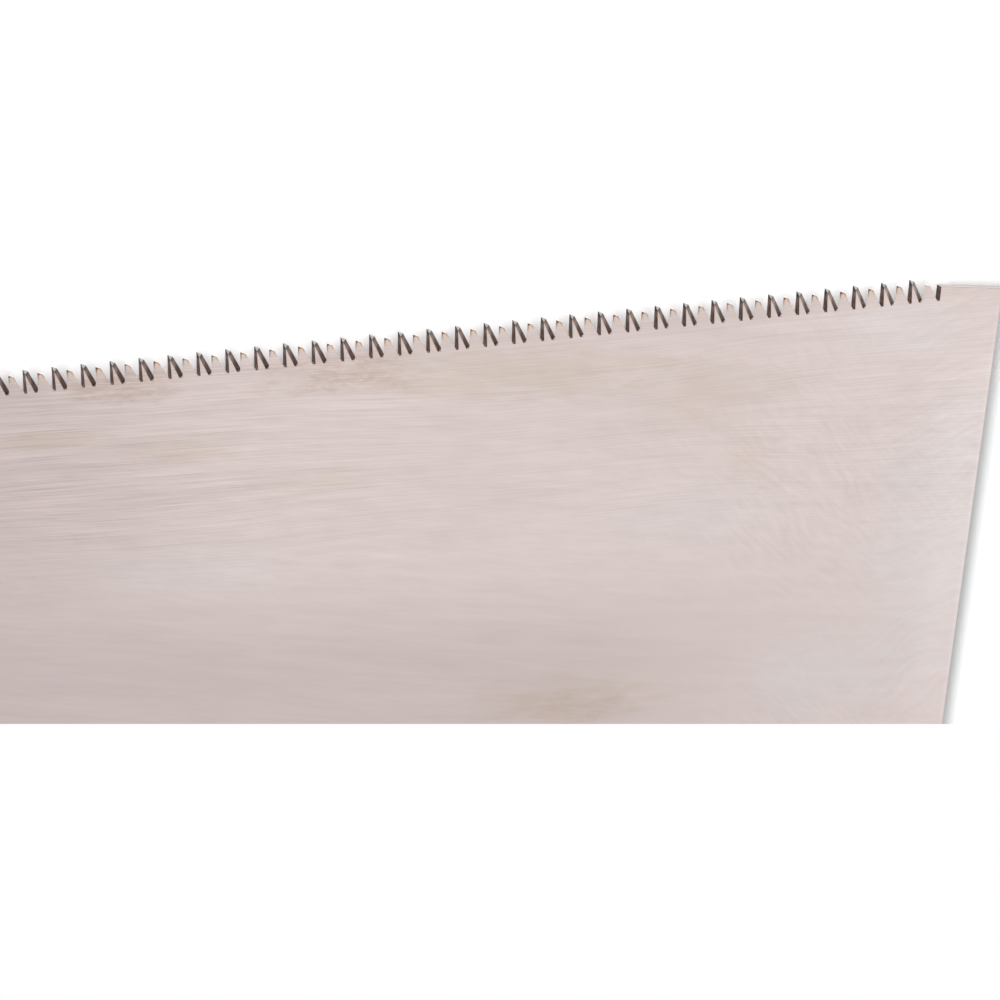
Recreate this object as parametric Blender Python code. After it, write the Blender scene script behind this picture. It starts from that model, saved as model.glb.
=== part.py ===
"""Ryoba saw: a double-edged pull saw with a replaceable blade, lying flat on its handle.

The tang of the blade hooks on a pin in a folded steel holder and is clamped there by a screw.
The holder is pinned between the halves of an oval wooden handle with a rattan-wound grip.
Lengths are metres: +X runs to the toe, +Y to the crosscut edge and +Z up.
"""

import math

import bmesh
import bpy
from mathutils import Matrix, Vector

# Clearances
GAP = 0.0003  # between pieces that touch
SEAM = 0.0001  # glue line between the handle halves

# Blade plate
CUTTING_LENGTH = 0.240
TOE_WIDTH = 0.100  # across both tooth lines, at the toe
FLARE = math.radians(3.93)  # each tooth line leaves the centre line by this
PLATE = 0.0005
NOSE_LENGTH = 0.0069  # plain stretch between the last tooth and the toe corner
NOSE_DROP = 0.00173  # the toe corner lies this far under the tooth line
NOSE_START_DROP = 0.00065
HEEL_PLAIN = 0.004  # plain stretch behind the first tooth
HEEL_ROUND = 0.003
SHOULDER = 0.018  # length of the hollow shoulder between heel and neck

# Crosscut teeth: the knife tooth has ground bevels in front and behind, and a short top facet
CROSSCUT_PITCH = 0.0015
CROSSCUT_DEPTH = 0.00267
CROSSCUT_RISE = 0.00022  # tips over the tooth line, which the nose is measured from
FRONT_LEAN = math.radians(3.65)  # tip leans to the toe
BACK_LEAN = math.radians(21.07)
TOP_WIDTH = 0.000523
TOP_FALL = 0.000304
FRONT_BEVEL = 0.000373  # at the root
BACK_BEVEL = 0.000440
APEX_INSET = 0.00025  # the bevels meet this far behind the front edge
APEX_DEPTH = 0.00030  # and this far under the tip
CROSSCUT_SET = 0.00015

# Rip teeth: chisel teeth that grow from heel to toe
RIP_PITCH_TOE = 0.0040
RIP_PITCH_HEEL = 0.0025
RIP_DEPTH_PER_PITCH = 0.72
RIP_FRONT_LEAN = math.radians(6.0)
RIP_GULLET_PER_PITCH = 0.10
RIP_SET = 0.00015

# Tang and its fastening, with x from the mouth of the handle
HOOK_X = 0.010
PIN_RADIUS = 0.0025
HOOK_PLAY = 0.0004
TANG_HALF = 0.0095
SCREW_REACH = 0.020  # hook pin to clamp screw
SCREW_RADIUS = 0.0025
SCREW_PLAY = 0.0006
NECK_SHOWN = 0.002  # neck between the holder and the shoulder

# Folded holder
SHEET = 0.0012
HOLDER_MARGIN = 0.009  # from the clamp screw to the front edge
HOLDER_EMBED = 0.050
HOLDER_CORNER = 0.005
BEND_ROUND = 0.0008

# Fasteners
RIVET_HEAD_RADIUS = 0.0042
RIVET_HEAD_HEIGHT = 0.0013
WASHER_RADIUS = 0.0058
WASHER_THICK = 0.0010
SPRING_RADIUS = 0.0046
SPRING_THICK = 0.0012
SPRING_SPLIT = 0.0008
HEAD_RADIUS = 0.0050
HEAD_HEIGHT = 0.0032
SLOT_WIDTH = 0.0012
SLOT_DEPTH = 0.0016
NUT_RADIUS = 0.0046  # over the corners
NUT_HEIGHT = 0.0035
SCREW_TAIL = 0.0012  # thread showing under the nut
HANDLE_PIN_RADIUS = 0.0020
HANDLE_PIN_MARGIN = 0.009
EDGE_BREAK = 0.0003
TACK_HEAD_RADIUS = 0.0017
TACK_HEAD_HEIGHT = 0.0007
TACK_RADIUS = 0.0006
TACK_LENGTH = 0.0060
TACK_INSET = 0.0030

# Handle
HANDLE_LENGTH = 0.330
HANDLE_WIDE = 0.028
HANDLE_THICK = 0.020
OVAL_POWER = 2.4
BUTT_FLARE = 0.055  # length over which the butt swells
BUTT_WIDE = 0.033
BUTT_THICK = 0.0224
BUTT_ROUND = 0.003
FERRULE_LENGTH = 0.014
FERRULE_WALL = 0.0009
WRAP_THICK = 0.0009

# Facets of the round shapes
ROUND_STEPS = 32
OVAL_STEPS = 40
ARC_STEPS = 8

# Places that follow from the sizes
SCREW_X = HOOK_X + SCREW_REACH
HOLDER_FRONT = SCREW_X + HOLDER_MARGIN
HEEL_X = HOLDER_FRONT + NECK_SHOWN + SHOULDER
TOE_X = HEEL_X + CUTTING_LENGTH
LAST_TIP_X = TOE_X - NOSE_LENGTH * math.cos(FLARE) - NOSE_DROP * math.sin(FLARE)
LAST_TIP_Y = TOE_WIDTH / 2 - (TOE_X - LAST_TIP_X) * math.tan(FLARE)
TOOTHED_LENGTH = (LAST_TIP_X - HEEL_X) / math.cos(FLARE) - HEEL_PLAIN
CROSSCUT_ROOT = CROSSCUT_DEPTH - CROSSCUT_RISE
CHEEK_INNER = PLATE / 2 + GAP
CHEEK_OUTER = CHEEK_INNER + SHEET
WEB_INNER = TANG_HALF + GAP
WEB_OUTER = WEB_INNER + SHEET
PIN_FRONT_X = -(FERRULE_LENGTH + HANDLE_PIN_MARGIN)
PIN_REAR_X = -(HOLDER_EMBED - HANDLE_PIN_MARGIN)
WRAP_START = HOLDER_EMBED
WRAP_END = HANDLE_LENGTH - BUTT_FLARE
WRAP_OUTER = HANDLE_THICK / 2 + GAP + WRAP_THICK
FERRULE_OUTER = HANDLE_THICK / 2 + GAP + FERRULE_WALL
REST_HEIGHT = max(BUTT_THICK / 2, WRAP_OUTER, FERRULE_OUTER)
CUT_OVER = 0.010  # cutters run this far past what they cut

# Colours (linear), metallic value and roughness of the finishes
BLADE_STEEL = ((0.694, 0.597, 0.578), 0.9, 0.40)
PLATED_STEEL = ((0.560, 0.560, 0.540), 0.9, 0.35)
DARK_STEEL = ((0.300, 0.290, 0.280), 0.9, 0.40)
PALE_WOOD = ((0.600, 0.420, 0.240), 0.0, 0.60)
RATTAN = ((0.640, 0.440, 0.200), 0.0, 0.55)


def clear_scene():
    for old in list(bpy.data.objects):
        bpy.data.objects.remove(old, do_unlink=True)


def make_material(name, finish):
    colour, metallic, roughness = finish
    material = bpy.data.materials.new(name)
    material.use_nodes = True
    shader = material.node_tree.nodes["Principled BSDF"]
    shader.inputs["Base Color"].default_value = (*colour, 1.0)
    shader.inputs["Metallic"].default_value = metallic
    shader.inputs["Roughness"].default_value = roughness
    return material


def make_object(name, shape, origin, parent):
    """Turns a bmesh in the saw's frame into an object whose origin is the given point."""
    bmesh.ops.recalc_face_normals(shape, faces=shape.faces)
    shape.transform(Matrix.Translation(-Vector(origin)))
    mesh = bpy.data.meshes.new(name)
    shape.to_mesh(mesh)
    shape.free()
    made = bpy.data.objects.new(name, mesh)
    made.location = origin
    made.parent = parent
    bpy.context.scene.collection.objects.link(made)
    return made


def make_node(name, shape, origin, parent, finish, smooth=True):
    made = make_object(name, shape, origin, parent)
    made.data.materials.append(make_material(name, finish))
    if smooth:
        made.data.shade_smooth()
        made.data.set_sharp_from_angle(angle=math.radians(35))
    return made


def combine(target, name, shape, parent, operation="DIFFERENCE"):
    """Cuts or trims an object with a hidden helper shape."""
    cutter = make_object(name, shape, (0.0, 0.0, 0.0), parent)
    cutter.hide_render = True
    cutter.display_type = "WIRE"
    modifier = target.modifiers.new(name, "BOOLEAN")
    modifier.operation = operation
    modifier.solver = "EXACT"
    modifier.object = cutter


# General shapes


def box(low, high):
    shape = bmesh.new()
    bmesh.ops.create_cube(shape, size=1.0)
    size = Vector(high) - Vector(low)
    bmesh.ops.scale(shape, vec=size, verts=shape.verts)
    bmesh.ops.translate(shape, vec=Vector(low) + size / 2, verts=shape.verts)
    return shape


def prism(outline, rise):
    """Extrudes a closed outline of 3-D points along a vector."""
    shape = bmesh.new()
    face = shape.faces.new([shape.verts.new(point) for point in outline])
    grown = bmesh.ops.extrude_face_region(shape, geom=[face], use_keep_orig=True)
    moved = [item for item in grown["geom"] if isinstance(item, bmesh.types.BMVert)]
    bmesh.ops.translate(shape, vec=rise, verts=moved)
    return shape


def turned(profile, x, y=0.0, ring=False):
    """Spins (radius, z) points about a vertical axis; a ring's profile is a closed loop."""
    shape = bmesh.new()
    points = [shape.verts.new((radius, 0.0, z)) for radius, z in profile]
    pairs = list(zip(points, points[1:]))
    if ring:
        pairs.append((points[-1], points[0]))
    edges = [shape.edges.new(pair) for pair in pairs]
    bmesh.ops.spin(
        shape,
        geom=points + edges,
        cent=(0.0, 0.0, 0.0),
        axis=(0.0, 0.0, 1.0),
        angle=math.tau,
        steps=ROUND_STEPS,
        use_merge=True,
    )
    bmesh.ops.remove_doubles(shape, verts=shape.verts, dist=1e-7)
    bmesh.ops.translate(shape, vec=(x, y, 0.0), verts=shape.verts)
    return shape


def upright_cylinder(radius, x, low, high):
    return turned([(0.0, low), (radius, low), (radius, high), (0.0, high)], x)


def lofted(rings, hollow=False):
    """Skins equal rings of points; a hollow loft closes on itself instead of taking end caps."""
    shape = bmesh.new()
    rows = [[shape.verts.new(point) for point in ring] for ring in rings]
    pairs = list(zip(rows, rows[1:]))
    if hollow:
        pairs.append((rows[-1], rows[0]))
    for near, far in pairs:
        for index in range(len(near)):
            after = (index + 1) % len(near)
            shape.faces.new((near[index], near[after], far[after], far[index]))
    if not hollow:
        shape.faces.new(rows[0])
        shape.faces.new(rows[-1])
    return shape


def arc(centre, radius, start, end, steps=ARC_STEPS):
    angles = [start + (end - start) * step / steps for step in range(steps + 1)]
    return [(centre[0] + radius * math.cos(a), centre[1] + radius * math.sin(a)) for a in angles]


def fillet(before, corner, after, radius):
    """Arc that rounds one corner of an outline."""
    corner = Vector(corner)
    back = (Vector(before) - corner).normalized()
    ahead = (Vector(after) - corner).normalized()
    half = back.angle(ahead) / 2
    centre = corner + (back + ahead).normalized() * radius / math.sin(half)
    first = (corner + back * radius / math.tan(half) - centre).normalized()
    last = (corner + ahead * radius / math.tan(half) - centre).normalized()
    points = []
    for step in range(ARC_STEPS + 1):
        spoke = first.slerp(last, step / ARC_STEPS)
        points.append(tuple(centre + spoke * radius))
    return points


# Blade


def tooth_line_point(side, along, out):
    """Point beside a tooth line: along it from the last tip towards the toe, and out from it."""
    x = LAST_TIP_X + along * math.cos(FLARE) - out * math.sin(FLARE)
    y = LAST_TIP_Y + along * math.sin(FLARE) + out * math.cos(FLARE)
    return x, side * y


class Plate:
    """Blade under construction: pairs of upper and lower points round the plate, and its teeth."""

    def __init__(self):
        self.shape = bmesh.new()
        self.pairs = []
        self.toothed = set()

    def vertex(self, point, z):
        return self.shape.verts.new((*point, z))

    def add_pair(self, upper, lower):
        self.pairs.append((self.vertex(upper, PLATE / 2), self.vertex(lower, -PLATE / 2)))

    def add_points(self, points):
        for point in points:
            self.add_pair(point, point)

    def add_face(self, points, flip=False):
        self.shape.faces.new(points[::-1] if flip else points)

    def start_tooth(self):
        """The wall behind the last pair is left to a tooth."""
        self.toothed.add(len(self.pairs) - 1)

    def close(self):
        self.add_face([upper for upper, _ in self.pairs])
        self.add_face([lower for _, lower in self.pairs], flip=True)
        for index, (upper, lower) in enumerate(self.pairs):
            if index in self.toothed:
                continue
            next_upper, next_lower = self.pairs[(index + 1) % len(self.pairs)]
            self.add_face([upper, lower, next_lower, next_upper])
        return self.shape


def flank_x(depth, lean, start):
    return start + depth * math.tan(lean)


def add_crosscut_tooth(plate, tip, drop, full_side):
    """One knife tooth. Its whole face is on full_side (+1 up), its bevels face the other way."""

    def place(along, out):
        return tooth_line_point(1, tip + along, CROSSCUT_RISE + out)

    def front(depth, inset):
        return flank_x(-depth, FRONT_LEAN, inset)

    def back(depth, inset):
        return flank_x(depth - TOP_FALL, BACK_LEAN, TOP_WIDTH - inset)

    depth = CROSSCUT_DEPTH
    apex_depth = drop + APEX_DEPTH
    full_z = full_side * PLATE / 2
    tip_z = full_z + full_side * CROSSCUT_SET
    apex_z = full_side * CROSSCUT_SET * (1 - apex_depth / depth) - full_z
    back_full = place(back(depth, 0.0), -depth)
    back_narrow = place(back(depth, BACK_BEVEL), -depth)
    front_full = place(front(depth, 0.0), -depth)
    front_narrow = place(front(depth, FRONT_BEVEL), -depth)

    upper, lower = (back_full, back_narrow) if full_side > 0 else (back_narrow, back_full)
    plate.add_pair(upper, lower)
    plate.start_tooth()
    upper, lower = (front_full, front_narrow) if full_side > 0 else (front_narrow, front_full)
    plate.add_pair(upper, lower)
    pick = 0 if full_side > 0 else 1
    a_full, b_full = plate.pairs[-2][pick], plate.pairs[-1][pick]
    a_narrow, b_narrow = plate.pairs[-2][1 - pick], plate.pairs[-1][1 - pick]
    tip_front = plate.vertex(place(front(drop, 0.0), -drop), tip_z)
    tip_back = plate.vertex(place(back(drop + TOP_FALL, 0.0), -drop - TOP_FALL), tip_z)
    apex = plate.vertex(place(front(apex_depth, APEX_INSET), -apex_depth), apex_z)
    flip = full_side > 0
    plate.add_face([a_narrow, apex, b_narrow], flip)
    plate.add_face([b_full, tip_front, tip_back, a_full], flip)
    plate.add_face([a_narrow, a_full, tip_back, apex], flip)
    plate.add_face([apex, tip_back, tip_front], flip)
    plate.add_face([apex, tip_front, b_full, b_narrow], flip)


def add_crosscut_edge(plate):
    """From the toe corner to the heel; teeth are bevelled up and down by turns."""
    plate.add_points([tooth_line_point(1, NOSE_LENGTH, -NOSE_DROP)])
    for drop in (NOSE_START_DROP, CROSSCUT_ROOT):
        lean = flank_x(-drop, FRONT_LEAN, 0.0)
        bevelled = tooth_line_point(1, lean + FRONT_BEVEL, -drop)
        plate.add_pair(bevelled, tooth_line_point(1, lean, -drop))
    count = int(TOOTHED_LENGTH / CROSSCUT_PITCH)
    for index in range(1, count):
        drop = CROSSCUT_RISE if index == 1 else 0.0
        full_side = 1 if index % 2 else -1
        add_crosscut_tooth(plate, -index * CROSSCUT_PITCH, drop, full_side)


def rip_tips():
    """Distances of the rip tips from the last one and their pitches, from the toe to the heel."""
    tips = []
    along = 0.0
    while along < TOOTHED_LENGTH:
        share = along / TOOTHED_LENGTH
        pitch = RIP_PITCH_TOE + (RIP_PITCH_HEEL - RIP_PITCH_TOE) * share
        tips.append((along, pitch))
        along += pitch
    return tips


def add_rip_tooth(plate, tip, pitch, lean_side):
    depth = RIP_DEPTH_PER_PITCH * pitch
    front_root = flank_x(-depth, RIP_FRONT_LEAN, tip)
    back_root = front_root + pitch * (1 - RIP_GULLET_PER_PITCH)
    plate.add_points([tooth_line_point(-1, front_root, -depth)])
    plate.start_tooth()
    plate.add_points([tooth_line_point(-1, back_root, -depth)])
    (a_upper, a_lower), (b_upper, b_lower) = plate.pairs[-2:]
    point = tooth_line_point(-1, tip, 0.0)
    upper = plate.vertex(point, PLATE / 2 + lean_side * RIP_SET)
    lower = plate.vertex(point, -PLATE / 2 + lean_side * RIP_SET)
    plate.add_face([a_upper, upper, b_upper])
    plate.add_face([b_lower, lower, a_lower])
    plate.add_face([a_upper, a_lower, lower, upper])
    plate.add_face([upper, lower, b_lower, b_upper])


def add_rip_edge(plate):
    """From the heel to the toe corner; the teeth are set up and down by turns."""
    tips = rip_tips()
    for index in range(len(tips) - 1, 0, -1):
        along, pitch = tips[index]
        add_rip_tooth(plate, -along, pitch, 1 if index % 2 else -1)
    depth = RIP_DEPTH_PER_PITCH * RIP_PITCH_TOE
    for drop in (depth, NOSE_START_DROP):
        lean = flank_x(-drop, RIP_FRONT_LEAN, 0.0)
        plate.add_points([tooth_line_point(-1, lean, -drop)])
    plate.add_points([tooth_line_point(-1, NOSE_LENGTH, -NOSE_DROP)])


def shoulder_points(side, depth):
    """From the tooth roots at the heel round the heel corner and along the hollow shoulder."""
    root_y = LAST_TIP_Y - (LAST_TIP_X - HEEL_X) * math.tan(FLARE) - depth / math.cos(FLARE)
    corner = (HEEL_X, root_y)
    edge = (HEEL_X + math.cos(FLARE), root_y + math.sin(FLARE))
    points = fillet(edge, corner, (HEEL_X, 0.0), HEEL_ROUND)
    top = root_y - 2 * HEEL_ROUND
    for step in range(2 * ARC_STEPS + 1):
        angle = math.pi / 2 * (1 - step / (2 * ARC_STEPS))
        x = HEEL_X - SHOULDER + SHOULDER * math.sin(angle)
        points.append((x, top - (top - TANG_HALF) * math.cos(angle)))
    return [(x, side * y) for x, y in points]


def tang_points():
    """Round rear end, the hook notch and the curved notch that lets the screw past."""
    pin = (HOOK_X, 0.0)
    screw = (SCREW_X, 0.0)
    notch = PIN_RADIUS + HOOK_PLAY
    slot = SCREW_RADIUS + SCREW_PLAY
    beak = math.tau - math.acos(-notch / TANG_HALF)
    inner = SCREW_REACH - slot
    outer = SCREW_REACH + slot
    points = arc(pin, TANG_HALF, math.pi / 2, beak, 2 * ARC_STEPS)
    points += arc(pin, notch, math.pi, 0.0)
    points.append((HOOK_X + notch, -TANG_HALF))
    points += arc(pin, inner, -math.asin(TANG_HALF / inner), 0.0)[:-1]
    points += arc(screw, slot, math.pi, 0.0)
    points += arc(pin, outer, 0.0, -math.asin(TANG_HALF / outer))[1:]
    return points


def blade_shape():
    plate = Plate()
    add_crosscut_edge(plate)
    plate.add_points(shoulder_points(1, CROSSCUT_ROOT))
    plate.add_points(tang_points())
    rip_depth = RIP_DEPTH_PER_PITCH * RIP_PITCH_HEEL
    plate.add_points(reversed(shoulder_points(-1, rip_depth)))
    add_rip_edge(plate)
    return plate.close()


# Holder and its fasteners


def holder_profile():
    """Folded section across the tang: two cheeks and the web, seen along the saw."""
    round_y = -WEB_OUTER + BEND_ROUND
    round_z = CHEEK_OUTER - BEND_ROUND
    outside = [(TANG_HALF, CHEEK_OUTER)]
    outside += arc((round_y, round_z), BEND_ROUND, math.pi / 2, math.pi, ARC_STEPS // 2)
    inside = [(-WEB_INNER, CHEEK_INNER), (TANG_HALF, CHEEK_INNER)]
    outside += [(y, -z) for y, z in reversed(outside)]
    inside = [(y, -z) for y, z in reversed(inside)] + inside
    return [(-HOLDER_EMBED, y, z) for y, z in outside + inside]


def holder_plan():
    """Outline from above, with the front corners of the cheeks rounded on the open side."""
    rear = -HOLDER_EMBED - CUT_OVER
    open_side = TANG_HALF + CUT_OVER
    web_side = -WEB_OUTER - CUT_OVER
    corner = (HOLDER_FRONT, TANG_HALF)
    rounded = fillet((HOLDER_FRONT, 0.0), corner, (0.0, TANG_HALF), HOLDER_CORNER)
    low = -CHEEK_OUTER - CUT_OVER
    points = [(rear, open_side), (rear, web_side), (HOLDER_FRONT, web_side)] + rounded
    points.append((rounded[-1][0], open_side))
    return [(x, y, low) for x, y in points]


def make_holder(parent):
    shape = prism(holder_profile(), (HOLDER_EMBED + HOLDER_FRONT, 0.0, 0.0))
    holder = make_node("blade_holder", shape, (0.0, 0.0, 0.0), parent, PLATED_STEEL)
    plan = prism(holder_plan(), (0.0, 0.0, 2 * (CHEEK_OUTER + CUT_OVER)))
    combine(holder, "holder_plan_trim", plan, parent, "INTERSECT")
    reach = CHEEK_OUTER + CUT_OVER
    bores = {
        "holder_hook_bore": (PIN_RADIUS + GAP, HOOK_X),
        "holder_screw_bore": (SCREW_RADIUS + SCREW_PLAY, SCREW_X),
        "holder_front_bore": (HANDLE_PIN_RADIUS + GAP, PIN_FRONT_X),
        "holder_rear_bore": (HANDLE_PIN_RADIUS + GAP, PIN_REAR_X),
    }
    for name, (radius, x) in bores.items():
        combine(holder, name, upright_cylinder(radius, x, -reach, reach), parent)


def dome(radius, height, base):
    """Quarter profile of a rounded head, from its crown to its rim."""
    steps = ARC_STEPS // 2
    angles = [math.pi / 2 * step / steps for step in range(steps + 1)]
    return [(radius * math.sin(a), base + height * math.cos(a)) for a in angles]


def make_hook_pin(parent):
    seat = CHEEK_OUTER + GAP
    upper = dome(RIVET_HEAD_RADIUS, RIVET_HEAD_HEIGHT, seat)
    upper.append((PIN_RADIUS, seat))
    profile = upper + [(radius, -z) for radius, z in reversed(upper)]
    make_node("hook_pin", turned(profile, HOOK_X), (HOOK_X, 0.0, 0.0), parent, DARK_STEEL)


def washer_loop(inner, outer, low, high):
    return [(inner, low), (outer, low), (outer, high), (inner, high)]


def make_clamp(parent):
    """Slotted screw with captive plain and spring washers, in a nut fixed under the lower cheek."""
    seat = CHEEK_OUTER + GAP
    bore = SCREW_RADIUS + GAP
    washer_top = seat + WASHER_THICK
    spring_base = washer_top + GAP
    spring_top = spring_base + SPRING_THICK
    head_base = spring_top + GAP
    head_top = head_base + HEAD_HEIGHT
    nut_base = -seat - NUT_HEIGHT
    tail = nut_base - SCREW_TAIL
    at_screw = (SCREW_X, 0.0, 0.0)

    washer = turned(washer_loop(bore, WASHER_RADIUS, seat, washer_top), SCREW_X, ring=True)
    make_node("clamp_washer", washer, at_screw, parent, PLATED_STEEL)

    coil = turned(washer_loop(bore, SPRING_RADIUS, spring_base, spring_top), SCREW_X, ring=True)
    spring = make_node("spring_washer", coil, at_screw, parent, DARK_STEEL)
    low = (SCREW_X, -SPRING_SPLIT / 2, spring_base - CUT_OVER)
    high = (SCREW_X + SPRING_RADIUS + CUT_OVER, SPRING_SPLIT / 2, spring_top + CUT_OVER)
    combine(spring, "spring_split", box(low, high), parent)

    profile = [
        (0.0, head_top),
        (HEAD_RADIUS - 2 * EDGE_BREAK, head_top),
        (HEAD_RADIUS, head_top - 2 * EDGE_BREAK),
        (HEAD_RADIUS, head_base),
        (SCREW_RADIUS, head_base),
        (SCREW_RADIUS, tail + EDGE_BREAK),
        (SCREW_RADIUS - EDGE_BREAK, tail),
        (0.0, tail),
    ]
    screw = make_node("clamp_screw", turned(profile, SCREW_X), at_screw, parent, PLATED_STEEL)
    side = HEAD_RADIUS + CUT_OVER
    low = (SCREW_X - side, -SLOT_WIDTH / 2, head_top - SLOT_DEPTH)
    high = (SCREW_X + side, SLOT_WIDTH / 2, head_top + CUT_OVER)
    combine(screw, "screw_slot", box(low, high), parent)

    corners = [math.tau * step / 6 for step in range(6)]
    flat = [(SCREW_X + NUT_RADIUS * math.cos(a), NUT_RADIUS * math.sin(a), nut_base) for a in corners]
    nut_shape = prism(flat, (0.0, 0.0, NUT_HEIGHT))
    nut = make_node("clamp_nut", nut_shape, at_screw, parent, PLATED_STEEL, smooth=False)
    nut_bore = upright_cylinder(bore, SCREW_X, nut_base - CUT_OVER, -seat + CUT_OVER)
    combine(nut, "nut_bore", nut_bore, parent)


# Handle


def oval_point(half_wide, half_thick, angle):
    power = 2 / OVAL_POWER
    cosine = math.cos(angle)
    sine = math.sin(angle)
    y = half_wide * math.copysign(abs(cosine) ** power, cosine)
    return y, half_thick * math.copysign(abs(sine) ** power, sine)


def butt_share(behind):
    """How far the handle has swollen from its grip size to its butt size."""
    share = (behind - (HANDLE_LENGTH - BUTT_FLARE)) / BUTT_FLARE
    share = min(max(share, 0.0), 1.0)
    return share * share * (3 - 2 * share)


def handle_half_sizes(behind):
    share = butt_share(behind)
    wide = HANDLE_WIDE + (BUTT_WIDE - HANDLE_WIDE) * share
    thick = HANDLE_THICK + (BUTT_THICK - HANDLE_THICK) * share
    return wide / 2, thick / 2


def handle_stations():
    """Distance behind the mouth and inset of each section, with a rounded butt edge at the end."""
    grip = HANDLE_LENGTH - BUTT_FLARE
    stations = [(0.0, 0.0), (grip, 0.0)]
    swell = BUTT_FLARE - BUTT_ROUND
    for step in range(1, ARC_STEPS + 1):
        stations.append((grip + swell * step / ARC_STEPS, 0.0))
    for step in range(1, ARC_STEPS // 2 + 1):
        angle = math.pi / 2 * step / (ARC_STEPS // 2)
        behind = HANDLE_LENGTH - BUTT_ROUND * (1 - math.sin(angle))
        stations.append((behind, BUTT_ROUND * (1 - math.cos(angle))))
    return stations


def half_handle_shape(side):
    rings = []
    for behind, inset in handle_stations():
        half_wide, half_thick = handle_half_sizes(behind)
        ring = []
        for step in range(OVAL_STEPS // 2 + 1):
            angle = math.pi * step / (OVAL_STEPS // 2)
            y, z = oval_point(half_wide - inset, half_thick - inset - SEAM / 2, angle)
            ring.append((-behind, y, side * (abs(z) + SEAM / 2)))
        rings.append(ring)
    return lofted(rings)


def cut_handle_half(half, name, parent):
    """Pocket for the holder and bores for the two cross pins."""
    low = (-HOLDER_EMBED - GAP, -WEB_OUTER - GAP, -CHEEK_OUTER - GAP)
    high = (CUT_OVER, TANG_HALF + GAP, CHEEK_OUTER + GAP)
    combine(half, name + "_pocket", box(low, high), parent)
    reach = HANDLE_THICK
    for label, x in (("front", PIN_FRONT_X), ("rear", PIN_REAR_X)):
        bore = upright_cylinder(HANDLE_PIN_RADIUS + GAP, x, -reach, reach)
        combine(half, f"{name}_{label}_bore", bore, parent)


def tack_places():
    return {"front": -(WRAP_START + TACK_INSET), "rear": -(WRAP_END - TACK_INSET)}


def tack_bore(x):
    return upright_cylinder(TACK_RADIUS + GAP, x, WRAP_OUTER - TACK_LENGTH - GAP, WRAP_OUTER + CUT_OVER)


def make_handle_halves(parent):
    for name, side in (("handle_upper_half", 1), ("handle_lower_half", -1)):
        half = make_node(name, half_handle_shape(side), (0.0, 0.0, 0.0), parent, PALE_WOOD)
        cut_handle_half(half, name, parent)
        if side > 0:
            for label, x in tack_places().items():
                combine(half, f"upper_{label}_tack_bore", tack_bore(x), parent)


def sleeve_shape(wall, near, far):
    """Oval tube round the grip, between two distances behind the mouth."""
    rings = []
    offsets = ((GAP, near), (GAP + wall, near), (GAP + wall, far), (GAP, far))
    for offset, behind in offsets:
        ring = []
        for step in range(OVAL_STEPS):
            angle = math.tau * step / OVAL_STEPS
            y, z = oval_point(HANDLE_WIDE / 2 + offset, HANDLE_THICK / 2 + offset, angle)
            ring.append((-behind, y, z))
        rings.append(ring)
    return lofted(rings, hollow=True)


def make_bands(parent):
    ferrule = sleeve_shape(FERRULE_WALL, 0.0, FERRULE_LENGTH)
    make_node("ferrule", ferrule, (0.0, 0.0, 0.0), parent, PLATED_STEEL)
    shape = sleeve_shape(WRAP_THICK, WRAP_START, WRAP_END)
    wrap = make_node("rattan_wrap", shape, (0.0, 0.0, 0.0), parent, RATTAN)
    for label, x in tack_places().items():
        combine(wrap, f"wrap_{label}_tack_bore", tack_bore(x), parent)


def make_handle_pins(parent):
    top = HANDLE_THICK / 2
    upper = [(0.0, top), (HANDLE_PIN_RADIUS - EDGE_BREAK, top), (HANDLE_PIN_RADIUS, top - EDGE_BREAK)]
    profile = upper + [(radius, -z) for radius, z in reversed(upper)]
    for name, x in (("handle_pin_front", PIN_FRONT_X), ("handle_pin_rear", PIN_REAR_X)):
        make_node(name, turned(profile, x), (x, 0.0, 0.0), parent, DARK_STEEL)


def make_tacks(parent):
    seat = WRAP_OUTER + GAP
    tip = WRAP_OUTER - TACK_LENGTH
    profile = dome(TACK_HEAD_RADIUS, TACK_HEAD_HEIGHT, seat)
    profile += [(TACK_RADIUS, seat), (TACK_RADIUS, tip + 2 * TACK_RADIUS), (0.0, tip)]
    for label, x in tack_places().items():
        make_node(f"wrap_tack_{label}", turned(profile, x), (x, 0.0, 0.0), parent, DARK_STEEL)


def make_saw():
    clear_scene()
    frame = bpy.data.objects.new("saw_frame", None)
    frame.location = ((HANDLE_LENGTH - TOE_X) / 2, 0.0, REST_HEIGHT)
    bpy.context.scene.collection.objects.link(frame)
    make_node("blade", blade_shape(), (HOOK_X, 0.0, 0.0), frame, BLADE_STEEL, smooth=False)
    make_holder(frame)
    make_hook_pin(frame)
    make_clamp(frame)
    make_handle_halves(frame)
    make_bands(frame)
    make_handle_pins(frame)
    make_tacks(frame)


make_saw()
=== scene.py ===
"""Looks of the ryoba saw, laid out as an add-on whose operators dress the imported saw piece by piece.

Lengths are metres in the saw's own frame: +X runs to the toe, +Y to the crosscut edge and +Z up.
Inside a material's nodes lengths are millimetres.
"""

import math

import bmesh
import bpy
from bpy.props import FloatProperty, FloatVectorProperty, IntProperty, PointerProperty
from mathutils import Matrix, Vector


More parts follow.
